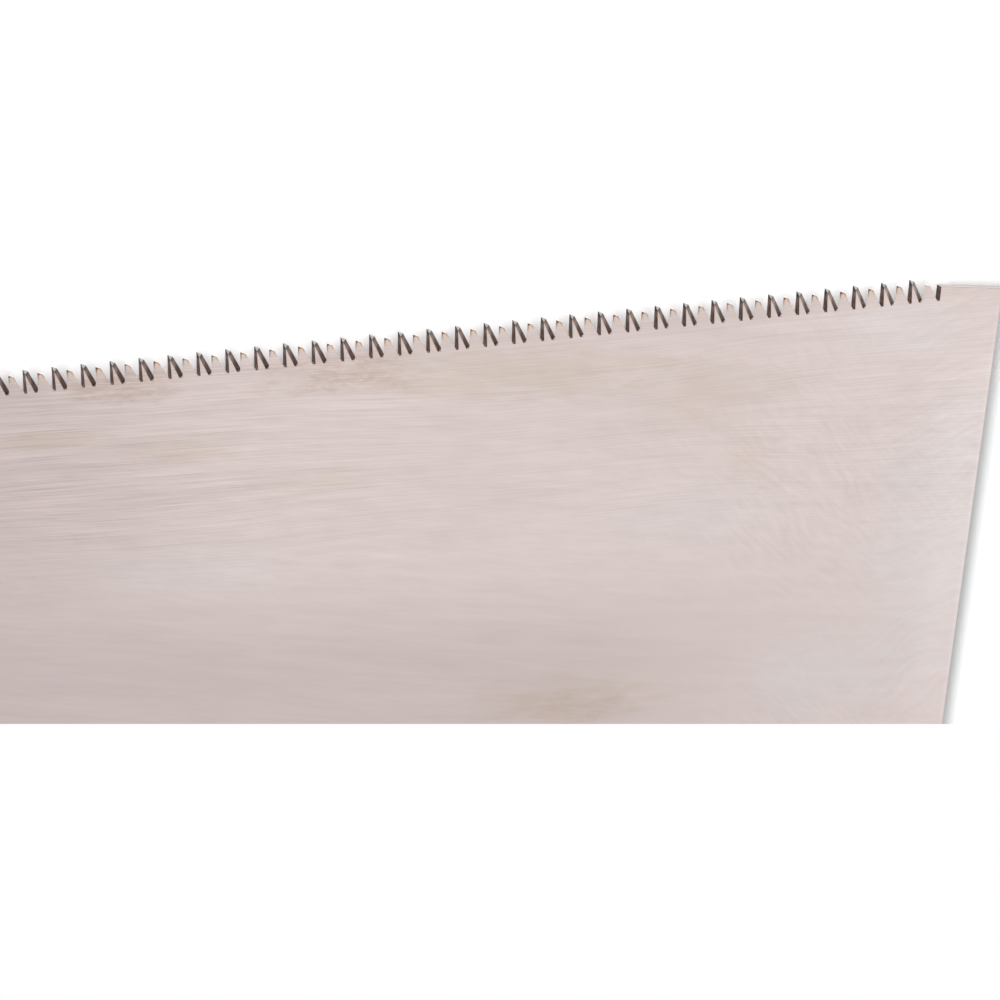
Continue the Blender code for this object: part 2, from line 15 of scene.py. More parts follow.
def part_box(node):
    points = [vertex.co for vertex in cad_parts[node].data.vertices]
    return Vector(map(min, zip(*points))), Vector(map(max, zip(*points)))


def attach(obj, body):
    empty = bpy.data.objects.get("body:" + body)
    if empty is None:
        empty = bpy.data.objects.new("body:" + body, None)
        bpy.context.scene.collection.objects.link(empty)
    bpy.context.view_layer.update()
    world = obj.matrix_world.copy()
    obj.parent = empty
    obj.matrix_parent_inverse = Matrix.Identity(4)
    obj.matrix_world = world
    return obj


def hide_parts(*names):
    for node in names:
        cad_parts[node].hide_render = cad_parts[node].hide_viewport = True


bl_info = {
    "name": "Ryoba saw",
    "version": (1, 0, 0),
    "blender": (4, 5, 0),
    "location": "View3D > Sidebar > Ryoba saw",
    "description": "Dresses the packed ryoba saw and sets its studio stage",
    "category": "Object",
}

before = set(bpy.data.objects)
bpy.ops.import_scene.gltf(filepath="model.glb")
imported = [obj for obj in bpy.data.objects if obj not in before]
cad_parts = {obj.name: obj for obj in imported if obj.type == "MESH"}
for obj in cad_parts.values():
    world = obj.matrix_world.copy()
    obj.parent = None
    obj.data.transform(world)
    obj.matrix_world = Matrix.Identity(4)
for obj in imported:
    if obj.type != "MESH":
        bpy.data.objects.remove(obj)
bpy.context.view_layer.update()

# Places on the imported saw
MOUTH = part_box("ferrule")[1].x
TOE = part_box("blade")[1].x
MIDDLE = sum(corner.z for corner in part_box("hook_pin")) / 2
SAW_PLACE = Matrix.Translation((MOUTH, 0.0, MIDDLE))


def from_mouth(node):
    """How far ahead of the handle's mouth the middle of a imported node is."""
    low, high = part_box(node)
    return (low.x + high.x) / 2 - MOUTH


HOOK = from_mouth("hook_pin")
SCREW = from_mouth("clamp_nut")
MM = 1000.0  # millimetres in a metre

# Blade
FLARE = math.radians(3.93)
TOE_HALF = 0.050
NOSE_LENGTH = 0.0069
NOSE_DROP = 0.00173
LAST_TIP_BACK = NOSE_LENGTH * math.cos(FLARE) + NOSE_DROP * math.sin(FLARE)
LAST_TIP = Vector((TOE - LAST_TIP_BACK, TOE_HALF - LAST_TIP_BACK * math.tan(FLARE), MIDDLE))
CROSSCUT_PITCH = 0.0015
CROSSCUT_RISE = 0.00022  # tips over the tooth line
FRONT_LEAN = math.radians(3.65)
BACK_LEAN = math.radians(21.07)
TOP_WIDTH = 0.000523
TOP_FALL = 0.000304
PLATE_HALF = 0.00025
FLAT_FACE = 0.98  # least z of a plate face's normal
UPRIGHT_FACE = 0.19  # most z of a wall's normal
TOP_FACET = 0.60  # least outward share of a top facet's normal

# Patches on the plate in millimetres: behind the last tip, y, half length, half width and strength
BEIGE_PATCHES = (
    (93.5, 34.0, 8.0, 1.8, 1.0),
    (79.5, 32.0, 8.0, 2.6, 0.8),
    (64.5, 26.9, 8.0, 2.4, 0.6),
    (44.0, 40.0, 20.0, 4.8, 1.1),
    (24.0, 36.5, 12.0, 7.0, 0.7),
    (18.5, 27.3, 4.5, 4.5, 0.6),
    (36.5, -6.4, 15.0, 4.8, 0.9),
)
BROWN_PATCHES = (
    (85.6, 40.5, 8.0, 2.4, 0.9),
    (63.0, 41.0, 11.0, 3.6, 0.7),
    (36.0, -7.6, 9.0, 3.6, 0.3),
)
COOL_PATCHES = (
    (78.0, 15.0, 14.0, 5.5, 0.7),
    (24.0, 19.5, 14.0, 7.0, 0.6),
    (8.0, -5.0, 13.0, 9.0, 1.0),
    (-4.0, 14.0, 11.0, 28.0, 1.1),
    (3.0, 44.0, 10.0, 5.0, 0.8),
    (98.0, 3.0, 18.0, 14.0, 0.4),
)

# Holder and fasteners
SHEET = 0.0012
CLEARANCE = 0.0003
CHEEK_INNER = PLATE_HALF + CLEARANCE
CHEEK_OUTER = CHEEK_INNER + SHEET
TANG_HALF = 0.0095
WEB_INNER = TANG_HALF + CLEARANCE
WEB_OUTER = WEB_INNER + SHEET
HOLDER_EMBED = 0.050  # inside the handle
HOLDER_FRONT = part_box("blade_holder")[1].x - MOUTH
HOLDER_CORNER = 0.005
BEND_RADIUS = 0.0014
SCREW_RADIUS = 0.0025
SCREW_BORE = 0.0031
WASHER_BORE = 0.0027
HEAD_HEIGHT = 0.0032
HEAD_CROWN = 0.0006
HEAD_GAP = 0.00002  # between the spring washer and the head
SCREW_PITCH = 0.0008
THREAD_DEPTH = 0.0004
SLOT_WIDTH = 0.0012
SLOT_DEPTH = 0.0016
SPRING_SPLIT = 0.0008
NUT_CHAMFER = 0.92376  # how much the chamfer drops for each length outwards
EDGE_ROUND = 0.00018
PIN_RADIUS = 0.0020
PIN_BORE = 0.0021
PIN_DOME = 0.00025
HOOK_BORE = 0.0027
TACK_SHANK = 0.0006

# Cells of the brushing on plated steel in millimetres
HOLDER_BRUSHING = (12.0, 0.25, 0.25)
CLAMP_BRUSHING = (0.6, 0.6, 0.12)
FERRULE_BRUSHING = (0.15, 8.0, 8.0)

# Handle
HANDLE_LENGTH = 0.330
GRIP_WIDE = 0.014
GRIP_THICK = 0.010
BUTT_WIDE = 0.0165
BUTT_THICK = 0.0112
BUTT_FLARE = 0.055
BUTT_ROUND = 0.003
OVAL_POWER = 2.4
SEAM_HALF = 0.00005
SEAM_CHAMFER = 0.00030
UPPER_PITH = (-0.022, 0.060)  # y and z of the line that the growth rings circle
LOWER_PITH = (0.030, -0.042)
FERRULE_LENGTH = 0.014
FERRULE_EDGE = 0.00035
GROOVE = 0.0002
GROOVE_INSET = 0.0028
BAND_OFFSET = 0.0012  # outside of the ferrule and the winding over the grip
WRAP_START = 0.050
WRAP_END = HANDLE_LENGTH - BUTT_FLARE
WRAP_TAIL = 0.06  # turns past each tack
WRAP_STEPS = 56
CANE_JOINT_SPACING = 0.310  # along the strip

# Mesh work
CUT_OVER = 0.010  # cutters run this far past what they cut
OVAL_STEPS = 96
SWELL_STEPS = 24
BUTT_STEPS = 8
HOLDER_BORE_STEPS = 48
PIN_BORE_STEPS = 32
WELD = 1e-7
FLAT_ANGLE = math.radians(1)
SMOOTH_ANGLE = math.radians(35)
SHARP_ANGLE = math.radians(40)

# Photograph's camera, in the frame of the tooth line
CAMERA_TILT = 0.684934632
CAMERA_SWING = 0.162872805
CAMERA_ROLL = 0.134229004
CAMERA_OFFSET = Vector((-0.0459621918, -0.0229896911, 0.448389890))
FOCAL_PIXELS = 4274.222
PICTURE_PIXELS = 1000
PICTURE_END_ROW = 724
SENSOR = 36.0

# Stage
WHITE = (1.0, 1.0, 1.0, 1.0)
CARD_AHEAD = 0.002
CARD_REACH = 0.55 * PICTURE_PIXELS
FLOOR_HALF = 4.0
KEY_SLOPE = Vector((-0.383, 0.745, 1.0))


# Sizes and colours that a user would change


def colour_setting(name, description, default):
    return FloatVectorProperty(
        name=name, description=description, default=default, subtype="COLOR", size=3, min=0.0, max=1.0
    )


def share_setting(name, description, default, most=1.0):
    return FloatProperty(
        name=name, description=description, default=default, min=0.0, max=most, subtype="FACTOR"
    )


def length_setting(name, description, default):
    return FloatProperty(
        name=name, description=description, default=default, min=0.0, subtype="DISTANCE", unit="LENGTH"
    )


class BladeLook(bpy.types.PropertyGroup):
    """Finish of the blade"""

    # Light and dark steel end the plate's gradient, which is partly painted reflected light and partly the
    # steel's own uneven tone.
    light: colour_setting("Light steel", "Ground plate at its lightest", (0.805, 0.702, 0.680))
    dark: colour_setting("Dark steel", "Ground plate at its darkest", (0.553, 0.467, 0.452))
    beige: colour_setting("Beige stain", "What the soft stains let through", (0.940, 0.925, 0.870))
    brown: colour_setting("Brown stain", "What the stains by the teeth let through", (0.850, 0.800, 0.740))
    cool: share_setting("Cool sheen", "Green and blue that the sheen patches add", 0.05)
    arris: colour_setting("Arris", "Worn edges of the walls", (0.430, 0.310, 0.260))
    # Painted reflection: the bevels are ground steel painted in the dark brown tones they reflect.
    bevel: colour_setting("Bevel", "Ground bevels of the knife teeth", (0.400, 0.310, 0.275))
    bevel_dark_reflection: colour_setting("Dark bevel", "Bevels at mid-height and cutting edge", (0.130, 0.094, 0.084))
    facet: colour_setting("Top facet", "Short facet on the tip of a tooth", (0.480, 0.468, 0.462))
    # Painted reflection: top facets that lean down are painted pale.
    down_facet_reflection: colour_setting("Pale facet", "Top facets that lean down", (0.960, 0.930, 0.890))
    straw: colour_setting("Straw tint", "Faint heat tint under the tips", (0.760, 0.580, 0.440))
    bronze: colour_setting("Bronze tint", "Heat tint along the top edges", (0.420, 0.240, 0.150))
    burnt: colour_setting("Burnt tint", "Heat tint at the points", (0.150, 0.070, 0.040))
    roughness: share_setting("Roughness", "Mean roughness of the plate", 0.40)
    brushing: share_setting("Brushing", "Strength of the grinding lines", 1.0, 4.0)
    mottle: share_setting("Mottle", "Depth of the soft rubbed dabs at the toe", 0.14)


class HandleLook(bpy.types.PropertyGroup):
    """Finish of the wooden handle and its winding"""

    wood_light: colour_setting("Light wood", "Early wood", (0.700, 0.500, 0.300))
    wood_dark: colour_setting("Dark wood", "Late wood", (0.500, 0.310, 0.150))
    cane_light: colour_setting("Light cane", "Pale skin of the cane", (0.660, 0.490, 0.265))
    cane_dark: colour_setting("Dark cane", "Edges and joints of the cane", (0.360, 0.210, 0.080))
    strip_width: length_setting("Strip width", "Width of the cane strip", 0.0044)
    strip_pitch: length_setting("Strip pitch", "Advance of each turn", 0.0045)
    ring_spacing: length_setting("Ring spacing", "Distance between growth rings", 0.0026)


class FittingLook(bpy.types.PropertyGroup):
    """Finish of the steel fittings"""

    plated: colour_setting("Plated steel", "Holder, screw, nut, washer and ferrule", (0.560, 0.560, 0.540))
    dull: colour_setting("Dark steel", "Pins, tacks and spring washer", (0.300, 0.290, 0.280))
    plated_roughness: share_setting("Plated roughness", "Roughness of the plated steel", 0.32)
    dull_roughness: share_setting("Dark roughness", "Roughness of the dark steel", 0.42)
    round_steps: IntProperty(name="Round steps", description="Facets of a turned piece", default=64, min=16)


class StageLook(bpy.types.PropertyGroup):
    """Floor and light"""

    floor: colour_setting("Floor", "Colour of the floor", (0.876, 0.900, 0.906))
    floor_glow: share_setting("Floor glow", "White added to the floor where it is seen", 0.19)
    key_share: share_setting("Key share", "Share of the light that the lamp gives", 0.68)
    key_angle: FloatProperty(
        name="Key angle", description="Apparent width of the lamp", default=0.113, min=0.0, subtype="ANGLE"
    )
    horizon: share_setting("Horizon", "Light that gloss shows at the horizon", 0.45)


# Materials


class Wire:
    """An output of the nodes of a material or a world."""

    def __init__(self, nodes, socket):
        self.nodes = nodes
        self.socket = socket


def arithmetic(operation):
    """Operator that adds one math node to a level."""

    def added(level, *others):
        return level.nodes.math(operation, level, *others)

    return added


class Level(Wire):
    """A number that varies over a surface, on which plain arithmetic adds math nodes."""

    __add__ = arithmetic("ADD")
    __sub__ = arithmetic("SUBTRACT")
    __mul__ = arithmetic("MULTIPLY")
    __truediv__ = arithmetic("DIVIDE")
    __mod__ = arithmetic("FLOORED_MODULO")
    __abs__ = arithmetic("ABSOLUTE")

    def __rsub__(self, other):
        return self.nodes.math("SUBTRACT", other, self)

    def span(self, low, high, bottom=0.0, top=1.0):
        """Smooth step from bottom to top as the level goes from low to high."""
        values = [self, low, high, bottom, top]
        node = self.nodes.add("ShaderNodeMapRange", values, interpolation_type="SMOOTHSTEP")
        return Level(self.nodes, node.outputs["Result"])

    def around_one(self, depth):
        """Factor around one from a noise around one half."""
        return self.nodes.math("MULTIPLY_ADD", self, depth, 1.0 - depth / 2)


class Place(Wire):
    """A vector that varies over a surface."""

    def parts(self):
        node = self.nodes.add("ShaderNodeSeparateXYZ", [self])
        return [Level(self.nodes, output) for output in node.outputs]

    def noise(self, cell, detail=2.0):
        """Noise around one half whose cells have this size along x, y and z."""
        node = self.nodes.add("ShaderNodeTexNoise", [self.nodes.vector("DIVIDE", self, cell)])
        node.inputs["Scale"].default_value = 1.0
        node.inputs["Detail"].default_value = detail
        return Level(self.nodes, node.outputs["Fac"])


class Nodes:
    """Adds and links the nodes of a material or a world in short calls."""

    def __init__(self, owner):
        owner.use_nodes = True
        self.owner = owner
        self.tree = owner.node_tree

    def put(self, socket, value):
        """Links a wire or a socket, or sets a plain value."""
        if isinstance(value, Wire):
            value = value.socket
        if isinstance(value, bpy.types.NodeSocket):
            self.tree.links.new(value, socket)
        else:
            socket.default_value = value

    def add(self, kind, values=(), **settings):
        """Node of this kind, with values for its first inputs."""
        node = self.tree.nodes.new(kind)
        for name, value in settings.items():
            setattr(node, name, value)
        for socket, value in zip(node.inputs, values):
            self.put(socket, value)
        return node

    def math(self, operation, *values):
        return Level(self, self.add("ShaderNodeMath", values, operation=operation).outputs[0])

    def vector(self, operation, *values):
        return Place(self, self.add("ShaderNodeVectorMath", values, operation=operation).outputs[0])

    def coordinates(self, name):
        return Place(self, self.add("ShaderNodeTexCoord").outputs[name])

    def place(self):
        """Place in the piece's own frame."""
        return self.vector("MULTIPLY", self.coordinates("Object"), (MM, MM, MM))

    def joined(self, x, y, z):
        return Place(self, self.add("ShaderNodeCombineXYZ", [x, y, z]).outputs[0])

    def mix(self, share, first, second):
        node = self.add("ShaderNodeMix", data_type="RGBA")
        self.put(node.inputs[0], share)
        for socket, colour in ((node.inputs[6], first), (node.inputs[7], second)):
            self.put(socket, colour if isinstance(colour, Wire) else (*colour, 1.0))
        return Place(self, node.outputs[2])

    def shade(self, colour, factor):
        node = self.add("ShaderNodeVectorMath", [colour], operation="SCALE")
        self.put(node.inputs["Scale"], factor)
        return Place(self, node.outputs["Vector"])


class Surface(Nodes):
    """Nodes of a new material."""

    def __init__(self, name, roughness, metallic=0.0):
        super().__init__(bpy.data.materials.new(name))
        self.shader = self.tree.nodes["Principled BSDF"]
        self.feed("Roughness", roughness)
        self.feed("Metallic", metallic)

    def feed(self, name, value):
        self.put(self.shader.inputs[name], value)

    def finish(self, colour, roughness, height, depth):
        """Links the colour, the roughness and a bump of this depth in metres to the shader."""
        bump = self.add("ShaderNodeBump")
        bump.inputs["Strength"].default_value = 1.0
        bump.inputs["Distance"].default_value = depth
        self.put(bump.inputs["Height"], height)
        self.feed("Base Color", colour)
        self.feed("Roughness", roughness)
        self.feed("Normal", bump.outputs["Normal"])
        return self.owner


def scaled(colour, factor):
    return tuple(min(1.0, factor * channel) for channel in colour)


def drifting(nodes, colour, clouds):
    """One colour that drifts a little darker and lighter."""
    return nodes.mix(clouds, scaled(colour, 0.82), scaled(colour, 1.12))


def turned_axes(x, y, angle):
    """Distances along and across a direction at this angle from x."""
    along = x * math.cos(angle) + y * math.sin(angle)
    return along, y * math.cos(angle) - x * math.sin(angle)


def tooth_line_place(place):
    """Distance along the nearer tooth line from its last tip, and out from it."""
    x, y, _ = place.parts()
    return turned_axes(x - LAST_TIP.x * MM, abs(y) - LAST_TIP.y * MM, FLARE)


def drawn_lines(place, degrees, long, wide, detail=2.0):
    """Noise whose cells run at this angle from the blade's length."""
    x, y, z = place.parts()
    run, side = turned_axes(x, y, math.radians(degrees))
    return place.nodes.joined(run, side, z).noise((long, wide, 0.3), detail)


def swayed(place, long, wide, reach):
    """Place moved across the blade by a slow noise with cells of this size."""
    sway = place.noise((long, wide, 1.0), 1.0) * reach
    return place.nodes.vector("ADD", place, place.nodes.joined(0.0, sway, 0.0))


def brushed_tone(look, place, along):
    """Factor of the plate's marks: crossing lines near the teeth, soft streaks, and dabs at the toe."""
    _, y, _ = place.parts()
    from_middle = abs(y)
    toothward = from_middle.span(9.0, 28.0, 0.12, 1.0)
    heelward = along.span(-45.0, -100.0, 1.0, 2.2) * along.span(-32.0, -14.0, 1.0, 0.95)
    lined = toothward * heelward * look.brushing
    wavered = swayed(place, 55.0, 22.0, 7.0)
    swirled = swayed(place, 12.0, 12.0, 9.0)
    scratches = drawn_lines(wavered, 2.2, 24.0, 0.15, 1.0).span(0.60, 0.76, 0.5, 0.0)
    toe_band = abs(along + 14.0).span(12.0, 3.0, 0.75, 1.5)
    middle_rub = from_middle.span(4.0, 16.0, 0.3, 1.0)
    dabbed = along.span(-45.0, -12.0, 0.3 * look.mottle, look.mottle) * toe_band * middle_rub
    dabbed = dabbed * from_middle.span(38.0, 28.0, 0.5, 1.0)
    layers = (
        (drawn_lines(wavered, 0.8, 16.0, 0.12), lined * 0.25),
        (drawn_lines(wavered, 3.6, 13.0, 0.17), lined * 0.19),
        (scratches, lined * 0.10),
        (drawn_lines(place, -7.0, 16.0, 1.5), along.span(-45.0, -20.0, 0.12, 0.09)),
        (drawn_lines(place, -10.0, 5.0, 0.55), along.span(-45.0, -20.0, 0.11, 0.04)),
        (drawn_lines(swirled, -48.0, 2.4, 0.6), dabbed),
        (drawn_lines(swirled, 30.0, 4.5, 0.6), along.span(-14.0, 2.0, 0.0, look.mottle)),
        (place.noise((3.0, 2.2, 1.0)), middle_rub * (0.6 * look.mottle)),
    )
    factor = 1.0
    for layer, depth in layers:
        factor = (layer - 0.5) * depth + factor
    return factor


def tooth_place(along, out):
    """Distances on one tooth: toewards from its tip, down from its top edge, and down from its tip."""
    pitch = CROSSCUT_PITCH * MM
    lead = 0.2 * pitch
    beside = (along + lead) % pitch - lead
    below_tip = CROSSCUT_RISE * MM - out
    return beside, below_tip - beside * (TOP_FALL / TOP_WIDTH), below_tip


def tooth_outline(nodes, beside, below_tip):
    """Share of a thin line along the front and back edges of a tooth, fading down from its tip."""
    from_front = below_tip * math.tan(FRONT_LEAN) + beside
    back_start = (TOP_WIDTH - TOP_FALL * math.tan(BACK_LEAN)) * MM
    from_back = below_tip * math.tan(BACK_LEAN) + back_start - beside
    front_line = from_front.span(0.24, 0.06) * below_tip.span(1.4, 0.6)
    back_line = from_back.span(0.20, 0.04) * below_tip.span(1.0, 0.5)
    return nodes.math("MAXIMUM", front_line, back_line)


def tinted_tips(nodes, look, colour, along, out, place):
    """Heat tint of the crosscut teeth, darkest at their points, and a thin line in the bevels' colour along
    their front and back edges; the last ones at the toe have none.
    """
    pitch = CROSSCUT_PITCH * MM
    beside, depth, below_tip = tooth_place(along, out)
    _, y, _ = place.parts()
    toothed = along.span(-1.4 * pitch, -1.6 * pitch) * nodes.math("GREATER_THAN", y, 0.0)
    depth = depth * place.noise((2.2, 2.2, 1.0), 1.0).around_one(1.6)
    from_point = beside + depth
    edge = nodes.math("MAXIMUM", from_point.span(0.42, 0.15), depth.span(0.18, 0.06))
    tints = (
        (depth.span(1.00, 0.30, 0.0, 0.60), look.straw),
        (tooth_outline(nodes, beside, below_tip), look.bevel),
        (edge * 0.40, look.bronze),
        (from_point.span(0.50, 0.22, 0.0, 0.90), look.burnt),
    )
    for share, tint in tints:
        colour = nodes.mix(share * toothed, colour, tint)
    return colour


def stain_patches(place, patches):
    """Share of stain from soft patches with ragged edges."""
    x, y, _ = place.parts()
    ragged = place.noise((3.0, 1.2, 1.0), 3.0) * 1.6
    total = 0.0
    for behind, aside, half_long, half_wide, strength in patches:
        along = (x - (LAST_TIP.x * MM - behind)) / half_long
        across = (y - aside) / half_wide
        reach = along * along + across * across + ragged
        total = reach.span(1.8, 0.6, 0.0, strength) + total
    return total


def filtered(nodes, colour, share, tint):
    return nodes.vector("MULTIPLY", colour, nodes.mix(share, WHITE[:3], tint))


def painted_light_and_tone_share(place, along, out):
    """Share of light steel, partly painted reflected light and partly the steel's own uneven tone: less at
    the heel and the middle, more at the toe, its edge and its corner.
    """
    x, y, _ = place.parts()
    toe_x = TOE * MM
    slow = place.noise((50.0, 20.0, 1.0))
    toe = along.span(-42.0, -5.0)
    middle = abs(y + 5.0).span(21.0, 4.0, 0.0, 0.43) * (toe * -0.72 + 1.0)
    heel = along.span(-66.0, -104.0, 0.0, 0.40) * (middle * -1.8 + 1.0)
    corner = along.span(-24.0, -4.0) * out.span(-26.0, -8.0) * 0.14
    toe_edge = x.span(toe_x - 8.0, toe_x - 1.0, 0.0, 0.20) * out.span(-8.0, -18.0)
    # Painted highlight: a thin light line along the toe edge.
    toe_edge_highlight = x.span(toe_x - 0.5, toe_x - 0.2, 0.0, 0.10)
    return slow * 0.20 + 0.56 - middle - heel + corner + toe_edge + toe_edge_highlight


def plate_tone(nodes, look, place, along, out):
    """Colour of the plate, with a gradient that is partly painted reflected light and partly the steel's
    own tone, beige stains, speckled brown ones by the teeth and a cool sheen.
    """
    beige = place.noise((11.0, 3.5, 1.0), 3.0).span(0.52, 0.74, 0.0, 0.22)
    beige = beige * out.span(-45.0, -8.0, 0.35, 1.0) + stain_patches(place, BEIGE_PATCHES)
    speckles = place.noise((0.9, 0.35, 1.0), 3.0).around_one(3.0)
    brown = stain_patches(place, BROWN_PATCHES) * speckles + out.span(-3.2, -1.8, 0.0, 0.25)
    cool = stain_patches(place, COOL_PATCHES)
    sheen = (1.0, 1.0 + look.cool, 1.0 + 1.2 * look.cool)
    # Painted light: the mix from dark to light steel is partly a painted reflected-light gradient.
    colour = nodes.mix(painted_light_and_tone_share(place, along, out), look.dark, look.light)
    for share, tint in ((beige, look.beige), (brown, look.brown), (cool, sheen)):
        colour = filtered(nodes, colour, share, tint)
    return colour


def plate_steel(look):
    """Ground plate with a faint dark line under the gullets and heat tint on the teeth."""
    nodes = Surface("blade_plate_steel", look.roughness, 1.0)
    place = nodes.place()
    along, out = tooth_line_place(place)
    marks = brushed_tone(look, place, along)
    under_gullets = out.span(-3.35, -3.1) * out.span(-2.85, -3.1)
    colour = plate_tone(nodes, look, place, along, out)
    colour = nodes.shade(colour, marks * (under_gullets * -0.04 + 1.0))
    colour = tinted_tips(nodes, look, colour, along, out, place)
    return nodes.finish(colour, marks * 0.3 + (look.roughness - 0.3), marks, 0.00001)


def bevel_steel(look):
    """Ground bevel painted with the reflection it shows: darkest at its point, darker halfway down and
    along the cutting edge, lighter near the tip where it faces the toe.
    """
    nodes = Surface("blade_bevel_steel", 0.35, 1.0)
    place = nodes.place()
    along, out = tooth_line_place(place)
    _, _, z = place.parts()
    toeward, _, facing = nodes.coordinates("Normal").parts()
    lift = (z - MIDDLE * MM) * nodes.math("SIGN", facing)
    lines = nodes.joined(along, out, 0.0).noise((0.07, 1.6, 1.0))
    # Painted reflection: these shares and the darkening at the point paint the light and dark that the
    # bevel reflects, lighter near the tip where it faces the toe and near the root.
    near_tip = out.span(-1.7, -0.5) * toeward.span(-0.3, 0.3, 0.40, 0.95)
    near_root = out.span(-1.3, -2.2, 0.50, 0.88)
    share = (near_tip + near_root) * lift.span(-0.30, 0.10, 0.60, 0.98)
    colour = nodes.mix(share, look.bevel_dark_reflection, look.bevel)
    colour = nodes.shade(colour, out.span(0.15, -0.75, 0.20, 1.0) * lines.around_one(1.2))
    return nodes.finish(colour, lines * 0.2 + 0.25, lines, 0.000004)


def facet_steel(look):
    """Short top facet: bright along the top edge and dark at the point in the bevels' painted reflection
    colours, or painted pale, a painted reflection, where it leans down.
    """
    nodes = Surface("blade_facet_steel", 0.30, 1.0)
    place = nodes.place()
    beside, depth, _ = tooth_place(*tooth_line_place(place))
    _, _, facing = nodes.coordinates("Normal").parts()
    lines = place.noise((0.1, 0.4, 0.4))
    # The lower part of the facet and its point take the bevels' painted reflection colours.
    colour = nodes.mix(depth.span(0.36, 0.14), look.bevel, look.facet)
    colour = nodes.mix(beside.span(0.14, 0.04), colour, look.bevel_dark_reflection)
    # Painted reflection: facets whose normal points down are painted pale.
    colour = nodes.mix(nodes.math("LESS_THAN", facing, 0.0), colour, look.down_facet_reflection)
    colour = nodes.shade(colour, lines.around_one(0.4))
    return nodes.finish(colour, lines * 0.2 + 0.2, lines, 0.000003)


def wall_steel(look):
    """Bright sheared edge with a thin darker line along either arris."""
    nodes = Surface("blade_wall_steel", 0.35, 1.0)
    place = nodes.place()
    _, _, z = place.parts()
    lines = place.noise((0.8, 0.8, 0.05))
    clouds = place.noise((2.5, 2.5, 0.3))
    arris = abs(z - MIDDLE * MM).span(0.10, 0.19) * clouds.span(0.3, 0.6, 0.5, 1.0)
    shaded = Vector(look.dark).lerp(Vector(look.light), 0.3)
    colour = nodes.mix(clouds, shaded, look.light)
    colour = nodes.mix(arris * 0.8, colour, look.arris)
    colour = nodes.shade(colour, lines.around_one(0.2))
    return nodes.finish(colour, lines * 0.2 + 0.25, lines, 0.000003)


def plated_steel(look, name, course):
    """Satin plating, brushed along the direction in which the cells of course are long."""
    nodes = Surface(name, look.plated_roughness, 1.0)
    place = nodes.place()
    lines = place.noise(course, 3.0)
    clouds = place.noise((6.0, 6.0, 6.0), 3.0)
    specks = place.noise((0.35, 0.35, 0.35), 1.0).span(0.68, 0.80, 0.0, 0.5)
    colour = nodes.shade(drifting(nodes, look.plated, clouds), lines.around_one(0.25))
    colour = nodes.mix(specks, colour, look.dull)
    return nodes.finish(colour, clouds * 0.2 + (look.plated_roughness - 0.1), lines, 0.000006)


def dull_steel(look):
    """Dark steel with small dents."""
    nodes = Surface("dull_steel", look.dull_roughness, 1.0)
    place = nodes.place()
    dents = place.noise((0.5, 0.5, 0.5), 3.0)
    clouds = place.noise((2.0, 2.0, 2.0))
    colour = nodes.shade(drifting(nodes, look.dull, clouds), dents.around_one(0.5))
    return nodes.finish(colour, dents * 0.3 + (look.dull_roughness - 0.15), dents, 0.00003)


def handle_wood(look, name, pith):
    """Straight-grained pale wood whose growth rings circle a line beside the handle."""
    nodes = Surface(name, 0.55)
    place = nodes.place()
    _, y, z = place.parts()
    aside = y - pith[0] * MM
    above = z - pith[1] * MM
    radius = nodes.math("SQRT", aside * aside + above * above)
    waver = place.noise((60.0, 14.0, 14.0))
    ring = nodes.math("FRACT", (radius + waver * 6.0) / (look.ring_spacing * MM))
    late = ring.span(0.30, 0.93) * ring.span(1.0, 0.96)
    fibres = place.noise((9.0, 0.14, 0.14), 3.0)
    pores = place.noise((2.6, 0.11, 0.11), 1.0).span(0.62, 0.72, 0.0, 0.60)
    patches = place.noise((45.0, 12.0, 12.0))
    colour = nodes.mix(late * 0.85, look.wood_light, look.wood_dark)
    colour = nodes.shade(colour, fibres.around_one(0.55) * patches.around_one(0.25))
    colour = nodes.mix(pores, colour, look.wood_dark)
    return nodes.finish(colour, fibres * 0.2 + 0.45, fibres - pores, 0.00004)


def cane_skin(look):
    """Split cane: fine fibres along the strip, darker edges and a joint now and then."""
    nodes = Surface("cane_skin", 0.40)
    course = Place(nodes, nodes.add("ShaderNodeUVMap", uv_map="strip").outputs["UV"])
    run, side, _ = course.parts()
    fibres = course.noise((14.0, 0.10, 1.0), 3.0)
    lengths = course.noise((40.0, 30.0, 1.0))
    bands = course.noise((5.0, 2.5, 1.0))
    width = look.strip_width * MM
    edge = abs(side).span(0.30 * width, 0.50 * width)
    near_joint = (run + bands * 4.0) % (CANE_JOINT_SPACING * MM)
    joint = near_joint.span(0.0, 3.0) * near_joint.span(7.0, 4.0)
    colour = nodes.mix(lengths.span(0.3, 0.7), scaled(look.cane_light, 1.12), look.cane_light)
    colour = nodes.shade(colour, fibres.around_one(0.65) * bands.around_one(0.30))
    colour = nodes.mix(edge * 0.75, colour, look.cane_dark)
    colour = nodes.mix(joint * 0.65, colour, look.cane_dark)
    return nodes.finish(colour, fibres * 0.25 + 0.28, fibres, 0.00005)


# General shapes, in the saw's frame with x from the mouth of the handle and z from the plate's middle


def oval_point(half_wide, half_thick, angle):
    power = 2 / OVAL_POWER
    cosine = math.cos(angle)
    sine = math.sin(angle)
    y = half_wide * math.copysign(abs(cosine) ** power, cosine)
    return y, half_thick * math.copysign(abs(sine) ** power, sine)


def neighbours(items, closed):
    """Each item with the next one, and the last with the first in a closed loop."""
    pairs = list(zip(items, items[1:]))
    return pairs + [(items[-1], items[0])] if closed else pairs


